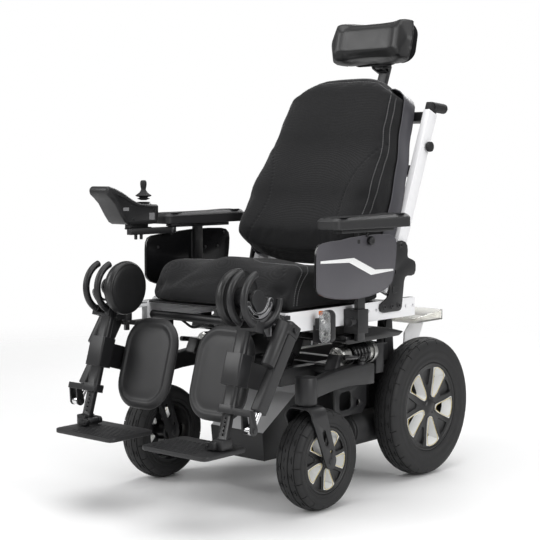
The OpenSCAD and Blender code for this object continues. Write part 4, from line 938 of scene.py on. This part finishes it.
def walk(points, pitch):
    spots, carried = [], 0.0
    for (a, na), (b, nb) in zip(points, points[1:]):
        span = (b - a).length
        while carried < span:
            share = carried / span
            spots.append((a.lerp(b, share), na.lerp(nb, share).normalized(), (b - a).normalized()))
            carried += pitch
        carried -= span
    return spots


stitchSettings = {"length": 0.0034, "thick": 0.00075, "pitch": 0.0052}


def sewRow(name, lines, body, lift=0.0002):
    bpy.ops.object.select_all(action="DESELECT")
    bpy.ops.mesh.primitive_uv_sphere_add(segments=6, ring_count=4, radius=1)
    first = bpy.context.object
    first.scale = (stitchSettings["length"] / 2, stitchSettings["thick"], stitchSettings["thick"] * 0.8)
    settle(first)
    stitches = []
    for line in lines:
        for at, up, along in walk(line, stitchSettings["pitch"]):
            side = up.cross(along).normalized()
            turnTo = Matrix((along, side, up)).transposed().to_4x4()
            stitch = first.copy()
            stitch.data = first.data.copy()
            bpy.context.scene.collection.objects.link(stitch)
            stitch.data.transform(Matrix.Translation(at + up * lift) @ turnTo)
            stitches.append(stitch)
    bpy.data.objects.remove(first)
    return mount(coat(group(stitches, name), "thread", 60), body)


def finishPad(obj, name, key, body, stands):
    mount(coat(obj, key, 60), body, name, stands)


def finishPadPair(obj, name, key, body, stands):
    twin = mountPair(coat(obj, key, 60), body, name, stands)


def smooth01(t):
    t = max(0.0, min(1.0, t))
    return t * t * (3 - 2 * t)


def between(value, stops):
    if value <= stops[0][0]:
        return stops[0][1]
    for (a, fa), (b, fb) in zip(stops, stops[1:]):
        if value <= b:
            return fa + (fb - fa) * smooth01((value - a) / (b - a))
    return stops[-1][1]


def superRound(t, power):
    return (1 - min(1.0, abs(t)) ** power) ** (1 / power)


# Seat cushion: thigh hollows, a low ridge between them, a lower rear
seatCushion = {"halfWidth": 0.219, "front": -0.2185, "rear": 0.165, "bottom": 0.4565, "frontHeight": 0.101,
               "tops": [(0.0, 0.0), (0.12, 0.001), (0.5, -0.007), (0.85, -0.027), (1.0, -0.036)],
               "hollow": 0.011, "ridge": 0.006, "corner": 9, "voxel": 0.006, "pressure": 3.5, "cap": 0.004}


def seatRule(a, b, c):
    s = seatCushion
    plan = superRound(b, s["corner"])
    x = a * s["halfWidth"] * (0.86 + 0.14 * plan)
    v = (b + 1) / 2
    y = s["front"] + (s["rear"] - s["front"]) * v
    y += 0.010 * (abs(a) ** 6) * (1 - 2 * v)
    top = s["frontHeight"] + between(v, s["tops"])
    u = abs(x) / s["halfWidth"]
    top -= s["hollow"] * math.exp(-((u - 0.52) / 0.24) ** 2) * (1 - 0.5 * v)
    top += s["ridge"] * math.exp(-(u / 0.16) ** 2) * (1 - v) * 1.3
    top -= 0.020 * abs(a) ** 7
    roll = (1 - min(1.0, v / 0.16)) ** 2 * 0.050
    share = (c + 1) / 2
    z = s["bottom"] + share * (top - roll)
    y += (1 - v) ** 8 * (abs(2 * share - 0.75) ** 2) * 0.012
    return (x, y, z)


seatPad = shapePad(cubeGrid(40), seatRule)
plump(seatPad, seatCushion["voxel"], seatCushion["pressure"], seatCushion["cap"])
seatTree = BVHTree.FromObject(seatPad, bpy.context.evaluated_depsgraph_get())
sideSeams, topSeam = [], []
for side in (1, -1):
    for offset, drop in ((0.0, 0.0), (0.010, 0.0105)):
        curve = []
        for t in range(31):
            a = t / 30 * math.pi / 2
            y = -0.176 + offset + 0.085 * (1 - math.cos(a))
            curve.append((side * 0.30, y, 0.468 + (0.0935 - drop) * math.sin(a)))
        sideSeams.append(onSurface(seatTree, curve, (-side, 0, 0)))
    curve = []
    for t in range(41):
        curve.append((side * (0.196 - 0.055 * math.sin(t / 40 * math.pi)), -0.20 + 0.35 * t / 40, 0.9))
    topSeam.append(onSurface(seatTree, curve, (0, 0, -1)))
pressSeam(seatPad, sideSeams[::2], 0.0016, 0.0035)
pressSeam(seatPad, topSeam, 0.0018, 0.0035)
finishPad(seatPad, "seatPad", "knit", "seat", ("seat_cushion",))
sewRow("seatStitching", sideSeams, "seat")
print("seat cushion sewn")

# Back cushion, in the back's own axes: x across, y towards the rear, z up along the back
backCushion = {"foot": 0.034, "head": 0.550, "rear": -0.0365,
               "width": [(0.03, 0.196), (0.10, 0.213), (0.20, 0.214), (0.30, 0.205), (0.40, 0.189),
                         (0.48, 0.182), (0.55, 0.178)],
               "front": [(0.03, -0.136), (0.09, -0.145), (0.20, -0.130), (0.36, -0.108), (0.50, -0.100),
                         (0.55, -0.094)],
               "wing": 0.012, "voxel": 0.006, "pressure": 3.5, "cap": 0.005}


def backRule(a, b, c):
    s = backCushion
    z = s["foot"] + (s["head"] - s["foot"]) * (c + 1) / 2
    head = smooth01((c - 0.62) / 0.38)
    x = a * between(z, s["width"]) * (1 - 0.24 * head ** 3) * (1 - 0.16 * smooth01((-c - 0.86) / 0.14))
    z -= 0.038 * head * abs(a) ** 3
    z += 0.020 * smooth01((-c - 0.6) / 0.4) * abs(a) ** 3
    front = between(z, s["front"])
    wing = s["wing"] * math.exp(-((abs(a) - 0.78) / 0.22) ** 2) * math.exp(-((z - 0.17) / 0.13) ** 2)
    hollow = 0.010 * math.exp(-(a / 0.5) ** 2) * math.exp(-((z - 0.30) / 0.20) ** 2)
    edge = 0.50 + 0.50 * superRound(a, 5) * superRound(c, 7)
    depth = (front - wing + hollow - s["rear"]) * edge
    return (x, s["rear"] + depth * (1 - b) / 2, z)


backPad = shapePad(cubeGrid(40), backRule)
plump(backPad, backCushion["voxel"], backCushion["pressure"], backCushion["cap"])
backTree = BVHTree.FromObject(backPad, bpy.context.evaluated_depsgraph_get())
innerSeams, borderSeams = [], []
for side in (1, -1):
    arc = []
    for t in range(31):
        bow = (t - 15) / 15
        out = 0.120 + 0.052 * abs(bow) ** 2.2 + 0.012 * max(0.0, bow)
        arc.append((side * out, -0.3, 0.040 + 0.300 * t / 30))
    innerSeams.append(onSurface(backTree, arc, (0, 1, 0)))
for offset in (0.000, 0.011):
    line = []
    for t in range(121):
        s = t / 120 * 2 - 1
        if abs(s) < 0.28:
            x = s / 0.28 * 0.112
            z = 0.532 - 0.008 * (s / 0.28) ** 2 - offset
        else:
            fall = (abs(s) - 0.28) / 0.72
            bend = smooth01(fall / 0.12)
            z = 0.524 - offset - 0.46 * max(0.0, fall - 0.10) / 0.90 - 0.030 * bend
            x = math.copysign(between(z, backCushion["width"]) - 0.012 - offset - 0.050 * (1 - bend), s)
        line.append((x, -0.3, z))
    borderSeams.append(onSurface(backTree, line, (0, 1, 0)))
pressSeam(backPad, innerSeams, 0.0022, 0.0035)
pressSeam(backPad, borderSeams[1:], 0.0016, 0.0035)
for line in borderSeams:
    for i, (p, n) in enumerate(line):
        line[i] = (backFrame @ p, (backFrame.to_3x3() @ n).normalized())
backPad.data.transform(backFrame)
finishPad(backPad, "backPad", "knit", "back", ("back_cushion",))
sewRow("backStitching", borderSeams, "back", 0.0004)
print("back cushion sewn")

# Back shell: a shallow dish behind the cushion
shellOutline = []
for k in range(61):
    t = k / 60
    if t < 0.42:
        z = 0.050 + 0.415 * t / 0.42
        tuck = 0.030 * (1 - smooth01((z - 0.05) / 0.03))
        shellOutline.append((between(z, backCushion["width"]) + 0.0030 - tuck, z))
    elif t < 0.5:
        a = (t - 0.42) / 0.08 * math.pi / 2
        shellOutline.append((0.128 + 0.0575 * math.cos(a), 0.465 + 0.045 * math.sin(a)))
shellOutline = shellOutline + [(-x, z) for x, z in shellOutline[::-1]]
backShell = plate(shellOutline, -0.0205, -0.050, "y", 0)
openFaces(backShell, lambda c, n: n.y < -0.9)
bpy.ops.mesh.inset(thickness=0.0030, depth=0)
bpy.ops.mesh.extrude_region_move(TRANSFORM_OT_translate={"value": (0, 0.0345, 0)})
closeEdit()
openFaces(backShell, lambda c, n: n.y > 0.9)
bpy.ops.mesh.inset(thickness=0.012, depth=0.0)
bpy.ops.transform.translate(value=(0, -0.0015, 0))
closeEdit()
roundOff(backShell, 0.0012, 3, 30)
backShell.data.transform(backFrame)
mount(coat(backShell, "shell", 35), "back", "backShell", ("back_shell",))

# Headrest: bent pad with wings, in the pad's own axes
headrest = {"halfArc": 0.149, "straight": 0.050, "bend": math.radians(40), "halfHeight": 0.058,
            "thick": 0.046, "voxel": 0.0045, "pressure": 4.0, "cap": 0.006}
headFrame = backFrame @ Matrix.Translation((0, -0.002, 0.673)) @ Matrix.Rotation(math.radians(100), 4, "X")


def headAngle(s):
    straight = headrest["straight"]
    return headrest["bend"] * smooth01((s - straight) / (headrest["halfArc"] - straight))


def headArc(s):
    sign, s = (1 if s >= 0 else -1), abs(s)
    x = y = 0.0
    steps = 24
    for i in range(steps):
        angle = headAngle(s * (i + 0.5) / steps)
        x += math.cos(angle) * s / steps
        y += math.sin(angle) * s / steps
    return sign * x, y, sign * headAngle(s)


def headRule(a, b, c):
    x, out, angle = headArc(a * headrest["halfArc"] * 0.955)
    tall = headrest["halfHeight"] * (0.93 * superRound(a, 5) + 0.07) * (1 - 0.05 * math.cos(a * 3))
    thick = headrest["thick"] * (0.46 + 0.54 * superRound(a, 4) * superRound(b, 4))
    depth = (c + 1) / 2 * thick
    return (x - math.sin(angle) * depth, b * tall, out + math.cos(angle) * depth + 0.002)


headPad = shapePad(cubeGrid(26), headRule)
plump(headPad, headrest["voxel"], headrest["pressure"], headrest["cap"])
headPad.data.transform(headFrame)
finishPad(headPad, "headPad", "leather", "headrest", ())
headMount = fromNode("headrest_pad", 0.0008)
toPadAxes = headFrame.inverted()
openFaces(headMount, lambda c, n: (toPadAxes @ c).z > 0.0045)
bpy.ops.mesh.delete(type="FACE")
closeEdit()
mount(coat(headMount, "powder"), "headrest", "headrestBracket", ("headrest_pad",))
print("headrest covered")

# Knee pads: padded discs with a welt, on the inner side of each hoop
kneePad = {"inner": 0.1612, "flatten": 0.95,
           "section": [(0, 0.0294), (0.056, 0.0294), (0.0605, 0.0280), (0.0610, 0.0255), (0.0590, 0.0245),
                       (0.0630, 0.0225), (0.0640, 0.0160), (0.0630, 0.0100), (0.0596, 0.0052),
                       (0.0560, 0.0034), (0.0540, 0.0040), (0.0510, 0.0024), (0.0400, 0.0010),
                       (0.0200, 0.0003), (0, 0.0001)]}
knee = smoothOut(turn(kneePad["section"], (0, 0, 0), "x", 64), 1)
squash = Matrix.Diagonal((1, kneePad["flatten"], 1.0, 1))
knee.data.transform(legFrame @ Matrix.Translation((kneePad["inner"], 0, 0)) @ squash)
finishPadPair(knee, "kneePad", "leather", "leg_left", ("knee_pad_left",))

# Calf pads: moulded foam with a raised border round a shallow face
calfPad = {"centre": (0.118, -0.164), "width": 0.138, "height": 0.181, "radius": 0.049, "back": 0.0838,
           # each ring of the moulding: how far in (out when negative), how far forward
           "rings": ((-0.006, 0.004), (-0.001, 0.010), (0.003, 0.006), (0.006, 0.0045), (0.005, 0.0018),
                     (0.004, -0.0004), (0.004, -0.0022), (0.004, -0.0010), (0.010, 0.0012), (0.014, 0.0010))}
calfOutline = roundedOutline(calfPad["width"], calfPad["height"], calfPad["radius"], calfPad["centre"], 10)
calf = plate(calfOutline, calfPad["back"], -0.004, "y", 0)
openFaces(calf, lambda c, n: n.y < -0.9)
for inwards, forwards in calfPad["rings"]:
    bpy.ops.mesh.inset(thickness=abs(inwards), depth=forwards, use_outset=inwards < 0)
closeEdit()
smoothOut(calf, 2)
calf.data.transform(legFrame)

calfHinge = {"width": 0.060, "height": 0.070, "radius": 0.008, "back": 0.0841, "thick": 0.0049,
             "ears": (-0.015, 0.015), "ear": (0.0078, 0.0165, 0.0158), "earDepth": 0.0945, "pinDepth": 0.102,
             "pin": [(0, -0.028), (0.0042, -0.028), (0.005, -0.0272), (0.005, 0.0272), (0.0042, 0.028),
                     (0, 0.028)]}
calfX, calfZ = calfPad["centre"]
hingeOutline = roundedOutline(calfHinge["width"], calfHinge["height"], calfHinge["radius"], calfPad["centre"])
hingeParts = [plate(hingeOutline, calfHinge["back"], calfHinge["thick"], "y", 0.0008)]
for ear in calfHinge["ears"]:
    hingeParts.append(block(calfHinge["ear"], (calfX + ear, calfHinge["earDepth"], calfZ), 0.0012))
hingeParts.append(turn(calfHinge["pin"], (calfX, calfHinge["pinDepth"], calfZ), "x", 24))
calfMount = group(hingeParts)
calfMount.data.transform(legFrame)
finishPadPair(calf, "calfPad", "foam", "calf_left", ("calf_pad_left",))
mountPair(coat(calfMount, "powder", 30), "calf_left", "calfHinge")

# Arm pads: upright sides, bevelled shoulders, a slightly domed top
armPad = {"x": 0.267, "front": -0.128, "length": 0.296, "width": 0.066, "radius": 0.017, "bottom": 0.6372,
          "wall": 0.0165, "swell": (1.16, 1.40),      # how much thicker at the front and at the rear
          "shoulder": ((0.0002, 0.0006), (0.0075, 0.0052), (0.0015, 0.0004), (0.008, 0.0006),
                       (0.008, 0.0003))}
padMiddle = (armPad["x"], armPad["front"] + armPad["length"] / 2)
padOutline = roundedOutline(armPad["width"], armPad["length"], armPad["radius"], padMiddle, 5)
pad = plate(padOutline, armPad["bottom"], armPad["wall"], "z", 0)
openFaces(pad, lambda c, n: n.z > 0.9)
for inwards, upwards in armPad["shoulder"]:
    bpy.ops.mesh.inset(thickness=inwards, depth=upwards)
closeEdit()
openFaces(pad, lambda c, n: n.z < -0.9)
bpy.ops.mesh.inset(thickness=0.0016, depth=0.0)
closeEdit()
roundOff(pad, 0.0018, 3, 22)
smoothOut(pad, 1)
thin, thickest = armPad["swell"]
for vert in pad.data.vertices:
    along = (vert.co.y - armPad["front"]) / armPad["length"]
    vert.co.z = armPad["bottom"] + (vert.co.z - armPad["bottom"]) * (thin + (thickest - thin) * along)
finishPadPair(pad, "armPad", "foam", "arm_left", ("arm_pad_left",))
print("pads made")

# Console and joystick
console = {
    "mid": -0.268,
    "half": 0.033,
    "stickY": -0.178,
    "well": 0.0200,
    "nose": (-0.318, 0.722, 0.011),     # y, z, radius
    "flanks": (-0.2370, -0.3090),       # x where each side's pocket starts
    "screws": ((-0.243, 0.6507), (-0.172, 0.6745)),
    "labels": (((-0.1795, 0.6575), (0.018, 0.019)), ((-0.2655, 0.6775), (0.018, 0.008))),
}
noseY, noseZ, noseRadius = console["nose"]
consoleOutline = [
    (-0.160, 0.640), (-0.200, 0.6385), (-0.258, 0.640), (-0.268, 0.645), (-0.280, 0.660), (-0.300, 0.690),
    (-0.314, 0.703), (-0.3265, 0.713), *[polar(noseRadius, a, (noseY, noseZ)) for a in range(200, 59, -20)],
    (-0.300, 0.7285), (-0.290, 0.7245), (-0.275, 0.7185), (-0.262, 0.7115), (-0.248, 0.7035),
    (-0.236, 0.6975), (-0.220, 0.6920), (-0.200, 0.6892), (-0.156, 0.687), (-0.1565, 0.660)]
flankOutline = [(-0.170, 0.650), (-0.252, 0.650), (-0.262, 0.655), (-0.286, 0.690), (-0.296, 0.703),
                (-0.290, 0.710), (-0.270, 0.703), (-0.250, 0.693), (-0.232, 0.686), (-0.170, 0.6775)]
stickAxis = (console["mid"], console["stickY"], 0)
housing = plate(consoleOutline, console["mid"] - console["half"], console["half"] * 2, "x", 0)
well = [(0, 0.660), (console["well"], 0.660), (console["well"], 0.72), (0, 0.72)]
cutWith(housing, turn(well, stickAxis, "z", 40))
roundOff(housing, 0.0062, 4, 40)
for start in console["flanks"]:
    cutWith(housing, plate(flankOutline, start, 0.0100, "x", 0.0008))
roundOff(housing, 0.0007, 2, 50)
stem = block((0.024, 0.058, 0.012), (console["mid"], -0.202, 0.6355), 0.002)
screwHead = [(0, 0), (0.0042, 0), (0.0042, 0.0022), (0.0034, 0.0030), (0.0020, 0.0030), (0.0020, 0.0014),
             (0, 0.0014)]
screws = [turn(screwHead, (-0.2382, y, z), "x", 20) for y, z in console["screws"]]
consoleBody = coat(group([housing, stem, *screws], "consoleHousing"), "plastic", 32)
mount(consoleBody, "controller", stands=("controller_housing",))

labels = []
for centre, size in console["labels"]:
    labels.append(plate(roundedOutline(*size, 0.0012, centre), -0.23708, 0.0006, "x", 0))
mount(coat(group(labels, "consoleLabels"), "silver", 30), "controller")

# The boot is two pieces: a ring fixed in the well, and a skirt with one fold that moves with the lever
joystickSettings = {
    "ring": [(0.0196, 0.6780), (0.0196, 0.6870), (0.0192, 0.6884), (0.0170, 0.6892), (0.0135, 0.6898),
             (0.0135, 0.6906), (0.0160, 0.6914), (0.0168, 0.6920), (0.0168, 0.6926), (0.0158, 0.6933),
             (0.0120, 0.6936), (0.0118, 0.6928), (0.0150, 0.6922), (0.0120, 0.6910), (0.0120, 0.6894),
             (0.0180, 0.6872), (0.0186, 0.6780), (0.0196, 0.6780)],
    "lever": [(0, 0.6975), (0.0070, 0.6975), (0.0110, 0.6992), (0.0150, 0.7004), (0.0156, 0.7012),
              (0.0150, 0.7020), (0.0105, 0.7034), (0.0105, 0.7044), (0.0120, 0.7054), (0.0165, 0.7064),
              (0.0196, 0.7080), (0.0200, 0.7092), (0.0190, 0.7104), (0.0150, 0.7128), (0.0105, 0.7164),
              (0.0078, 0.7200), (0.0064, 0.7230), (0.0060, 0.7252), (0.0066, 0.7276), (0.0074, 0.7310),
              (0.0080, 0.7360), (0.0081, 0.7400), (0.0076, 0.7432), (0.0064, 0.7456), (0.0044, 0.7467),
              (0, 0.7470)],
}
bellows = cleanShell(turn(joystickSettings["ring"], stickAxis, "z", 48), 0.00002)
mount(coat(bellows, "rubber", 50), "controller", "joystickBellows")
lever = coat(turn(joystickSettings["lever"], stickAxis, "z", 48), "rubber", 45)
mount(lever, "stick", "joystickLever", ("joystick",))
print("console made")

# Arm frames: finished sheet, pale stripe, knob and fixings
armPanel = {
    "inner": 0.2681,
    "thick": 0.0069,
    "face": 0.275,
    "knob": (0.0260, 0.6080),       # y, z
    "bolt": (0.0164, 0.6225),
    "hole": (-0.0142, 0.6070),
    "screws": ((0.0213, 0.6085), (0.1125, 0.6085), (0.0427, 0.5725), (0.0887, 0.5725), (-0.1290, 0.5790)),
    "outline": [(-0.1700, 0.510), (-0.1702, 0.540), (-0.1700, 0.575), (-0.1685, 0.592), (-0.1620, 0.6035),
                (-0.1500, 0.6085), (-0.1200, 0.6118), (-0.0840, 0.6132), (-0.0500, 0.6175), (0.000, 0.6208),
                (0.060, 0.6215), (0.105, 0.6200), (0.1230, 0.6165), (0.1340, 0.6070), (0.1370, 0.5920),
                (0.1350, 0.5650), (0.1290, 0.5280), (0.1200, 0.5060), (0.1020, 0.4930), (0.0700, 0.4838),
                (0.0300, 0.4775), (-0.0100, 0.4750), (-0.0600, 0.4765), (-0.1050, 0.4808), (-0.1350, 0.4868),
                (-0.1560, 0.4945), (-0.1660, 0.5030)],
    "stripe": [(-0.1560, 0.5690), (-0.0330, 0.5705), (0.0490, 0.5390), (0.1220, 0.5370), (0.1225, 0.5325),
               (0.0330, 0.5275), (-0.0510, 0.5605), (-0.1560, 0.5635)],
}
for side, across in (("left", 1), ("right", -1)):
    armFrame = fromNode("arm_frame_" + side, 0.0014)
    cutWith(armFrame, block((0.0160, 0.35, 0.158), (across * 0.27595, -0.02, 0.5480), 0))
    mount(coat(armFrame, "powder"), "arm_" + side, stands=("arm_frame_" + side,))
panelSheet = plate(armPanel["outline"], armPanel["inner"], armPanel["thick"], "x", 0)
openFaces(panelSheet, lambda c, n: n.x > 0.9)
bpy.ops.mesh.inset(thickness=0.0022, depth=-0.0008)
bpy.ops.mesh.inset(thickness=0.0016, depth=0.0008)
closeEdit()
roundOff(panelSheet, 0.0007, 3, 28)
coat(panelSheet, "gloss")
coatWhere(panelSheet, "anthracite", lambda c, n: c.x > 0.2738)
shade(panelSheet, 30)
stripe = coat(plate(armPanel["stripe"], armPanel["face"] + 0.00002, 0.0005, "x", 0.0002), "insert", 30)
knobSection = [(0, 0.2745), (0.0070, 0.2745), (0.0078, 0.2760), (0.0100, 0.2772), (0.0106, 0.2790),
               (0.0106, 0.2836), (0.0100, 0.2848), (0.0070, 0.2856), (0.0062, 0.2852), (0, 0.2852)]
boltSection = [(0, 0.2745), (0.0050, 0.2745), (0.0050, 0.2775), (0.0042, 0.2788), (0.0026, 0.2788),
               (0.0026, 0.2770), (0, 0.2770)]
screwSection = [(0, 0.2682), (0.0038, 0.2682), (0.0038, 0.2668), (0.0028, 0.2658), (0, 0.2654)]
fixings = [turn(knobSection, (0, *armPanel["knob"]), "x", 28),
           turn(boltSection, (0, *armPanel["bolt"]), "x", 20),
           plate(roundedOutline(0.0095, 0.0095, 0.0008, armPanel["hole"]), 0.27502, 0.0004, "x", 0)]
fixings += [turn(screwSection, (0, y, z), "x", 14) for y, z in armPanel["screws"]]
armBits = coat(group(fixings), "powder", 32)
edging = coat(rod([(0.2712, y, z) for y, z in armPanel["outline"][-6:-1]], 0.0010, 6, 2), "redStrip", 40)
for piece, name in ((panelSheet, "armPanel"), (stripe, "armStripe"), (armBits, "armFixings"),
                    (edging, "armEdging")):
    mountPair(piece, "arm_left", name)
print("arm frames made")

# Suspension springs: bright dome, black coils, bright end plate
spring = {
    "x": 0.216,
    "z": 0.335,
    "coil": 0.0056,
    "mean": 0.0222,     # radius of the coil's centre line
    "rings": (0.024, 0.037, 0.050, 0.063, 0.076),
    "dome": [(0, -0.0345), (0.0075, -0.0345), (0.0125, -0.0330), (0.0130, -0.0310), (0.0130, -0.0224),
             (0.0190, -0.0220), (0.0222, -0.0204), (0.0236, -0.0172), (0.0240, -0.0120), (0.0240, 0.0060),
             (0.0232, 0.0098), (0.0160, 0.0100), (0.0160, 0.0160), (0, 0.0160)],
    "plate": [(0, 0.0850), (0.0205, 0.0850), (0.0215, 0.0970), (0.0262, 0.0976), (0.0270, 0.0984),
              (0.0270, 0.1088), (0.0262, 0.1100), (0, 0.1100)],
    "core": [(0, 0.0140), (0.0168, 0.0140), (0.0168, 0.0870), (0, 0.0870)],
}
springAxis = (spring["x"], 0, spring["z"])
bright = group([turn(spring[key], springAxis, "y", 48) for key in ("dome", "plate")])
turns = []
for at in spring["rings"]:
    ring = [polar(spring["coil"], a, (spring["mean"], at)) for a in range(0, 360, 30)]
    turns.append(turn(ring + [(spring["mean"] + spring["coil"], at)], springAxis, "y", 40))
coils = cleanShell(group([*turns, turn(spring["core"], springAxis, "y", 32)]), 0.00002)
mountPair(coat(bright, "zinc", 35), "base", "springCaps", ("suspension_springs",))
mountPair(coat(coils, "gloss", 40), "base", "springCoils")

# Front lights
frontLight = {
    "centre": (0.270, 0.420),
    "lamps": ((0.0185, 0.0112), (-0.0165, 0.0104)),     # height from the centre, radius of the bowl
    "marker": (0.2555, 0.4495),
}
lightX, lightZ = frontLight["centre"]
lampParts = {"powder": [], "zinc": [], "lens": [], "amber": []}
lampBody = plate(roundedOutline(0.030, 0.074, 0.0135, (lightX, lightZ), 8), -0.1275, 0.0155, "y", 0.0014)
lampParts["powder"] += [lampBody, block((0.030, 0.018, 0.026), (0.252, -0.1195, 0.424), 0.002),
                        block((0.024, 0.014, 0.040), (0.242, -0.1195, 0.400), 0.002)]
reflector = plate(roundedOutline(0.0255, 0.0695, 0.0115, (lightX, lightZ), 8), -0.1298, 0.0024, "y", 0)
openFaces(reflector, lambda c, n: n.y < -0.9)
bpy.ops.mesh.inset(thickness=0.0030, depth=-0.0012)
bpy.ops.mesh.inset(thickness=0.0030, depth=0.0010)
closeEdit()
lampParts["zinc"].append(reflector)
bulb = [(0, -0.1296), (0.0036, -0.1296), (0.0036, -0.1318), (0.0022, -0.1326), (0, -0.1328)]
for high, bowl in frontLight["lamps"]:
    bowlSection = [(0.0036, -0.1297), (bowl * 0.70, -0.1306), (bowl * 0.93, -0.1324), (bowl, -0.1336),
                   (bowl, -0.1342), (bowl * 0.90, -0.1340), (bowl * 0.62, -0.1322), (0.0036, -0.1314),
                   (0.0036, -0.1297)]
    lampParts["zinc"].append(turn(bowlSection, (lightX, 0, lightZ + high), "y", 28))
    lampParts["powder"].append(turn(bulb, (lightX, 0, lightZ + high), "y", 16))
lensOutline = roundedOutline(0.0290, 0.0730, 0.0130, (lightX, lightZ), 8)
lampParts["lens"].append(plate(lensOutline, -0.1360, 0.0058, "y", 0.0014))
markerOutline = roundedOutline(0.0130, 0.0095, 0.0020, frontLight["marker"])
lampParts["amber"].append(plate(markerOutline, -0.1300, 0.0100, "y", 0.0008))
for key, members in lampParts.items():
    slot, stands = ("lens", ("front_lights",)) if key == "lens" else (None, ())
    mountPair(coat(group(members), key, 35), "seat", "frontLight" + key.title(), stands)
print("springs and lights made")

# Push handles and side knobs, in the back's axes
push = {
    "x": 0.218,
    "top": 0.472,
    "neck": ((0.000, 0.4860), (0.030, 0.4962), (0.052, 0.5030)),        # y, z
    "grip": ((0.046, 0.5010, 0.0136), (0.050, 0.5024, 0.0146), (0.056, 0.5045, 0.0150),     # y, z, radius
             (0.068, 0.5088, 0.0150), (0.0725, 0.5104, 0.0132), (0.0745, 0.5111, 0.0070)),
    "knob": [(0, 0.2278), (0.0060, 0.2278), (0.0068, 0.2292), (0.0112, 0.2300), (0.0128, 0.2316),
             (0.0130, 0.2360), (0.0124, 0.2396), (0.0104, 0.2408), (0.0050, 0.2410), (0, 0.2402)],
}
capBlock = block((0.0178, 0.0318, 0.021), (push["x"], 0, push["top"] + 0.0112), 0.0025)
neck = rod([(push["x"], y, z) for y, z in push["neck"]], 0.0128, 20, 3)
grip = rod([(push["x"], y, z) for y, z, radius in push["grip"]], 0.0148, 24, 3,
           radii=[radius for y, z, radius in push["grip"]])
handle = group([capBlock, neck, grip, turn(push["knob"], (0, 0.008, 0.380), "x", 32)])
handle.data.transform(backFrame)
mountPair(coat(handle, "rubber", 35), "back", "pushHandle", ("push_handles",))

# Footplate tread: small raised lozenges
tread = {"x": (0.064, 0.196), "y": (-0.486, -0.392), "pitch": (0.0135, 0.0110), "size": (0.0058, 0.0042),
         "level": 0.1781, "rise": 0.0007, "sunk": 0.0003}
pitchX, pitchY = tread["pitch"]
halfX, halfY = tread["size"]
lozenges = []
for row in range(int((tread["y"][1] - tread["y"][0]) / pitchY) + 1):
    for column in range(int((tread["x"][1] - tread["x"][0]) / pitchX) + 1):
        x = tread["x"][0] + (column + 0.5 * (row % 2)) * pitchX
        y = tread["y"][0] + row * pitchY
        outline = [(x - halfX, y), (x, y - halfY), (x + halfX, y), (x, y + halfY)]
        lozenges.append(plate(outline, tread["level"] - tread["sunk"], tread["rise"] + tread["sunk"], "z", 0))
mountPair(coat(group(lozenges), "plastic", 30), "plate_left", "footplateTread")
print("handles and footplates made")

# Floor: pale under the chair, fading out into the studio
floorSettings = {"size": 16, "fadeFrom": 1.5, "fadeTo": 3.6}
bpy.ops.object.select_all(action="DESELECT")
bpy.ops.mesh.primitive_plane_add(size=floorSettings["size"], location=(0, 0, 0))
floor = bpy.context.object
floor.name = "studioFloor"
floorPaint = bpy.data.materials.new("floorPaint")
floorPaint.use_nodes = True
tree = floorPaint.node_tree
shader = tree.nodes["Principled BSDF"]
shader.inputs["Roughness"].default_value = 0.75
shader.inputs["Specular IOR Level"].default_value = 0.2
drift = tree.nodes.new("ShaderNodeTexNoise")
drift.inputs["Scale"].default_value = 0.8
tree.links.new(objectPoint(tree), drift.inputs["Vector"])
floorTint = colourMix(tree, drift.outputs["Fac"], (0.93, 0.93, 0.93, 1), (0.905, 0.905, 0.907, 1))
tree.links.new(floorTint, shader.inputs["Base Color"])
distance = tree.nodes.new("ShaderNodeVectorMath")
distance.operation = "LENGTH"
tree.links.new(objectPoint(tree), distance.inputs[0])
fade = tree.nodes.new("ShaderNodeMapRange")
fade.interpolation_type = "SMOOTHSTEP"
fade.inputs["From Min"].default_value = floorSettings["fadeFrom"]
fade.inputs["From Max"].default_value = floorSettings["fadeTo"]
tree.links.new(distance.outputs["Value"], fade.inputs["Value"])
clear = tree.nodes.new("ShaderNodeBsdfTransparent")
blend = tree.nodes.new("ShaderNodeMixShader")
tree.links.new(fade.outputs["Result"], blend.inputs["Fac"])
tree.links.new(shader.outputs["BSDF"], blend.inputs[1])
tree.links.new(clear.outputs["BSDF"], blend.inputs[2])
tree.links.new(blend.outputs["Shader"], tree.nodes["Material Output"].inputs["Surface"])
floor.data.materials.append(floorPaint)

print("all pieces in place")
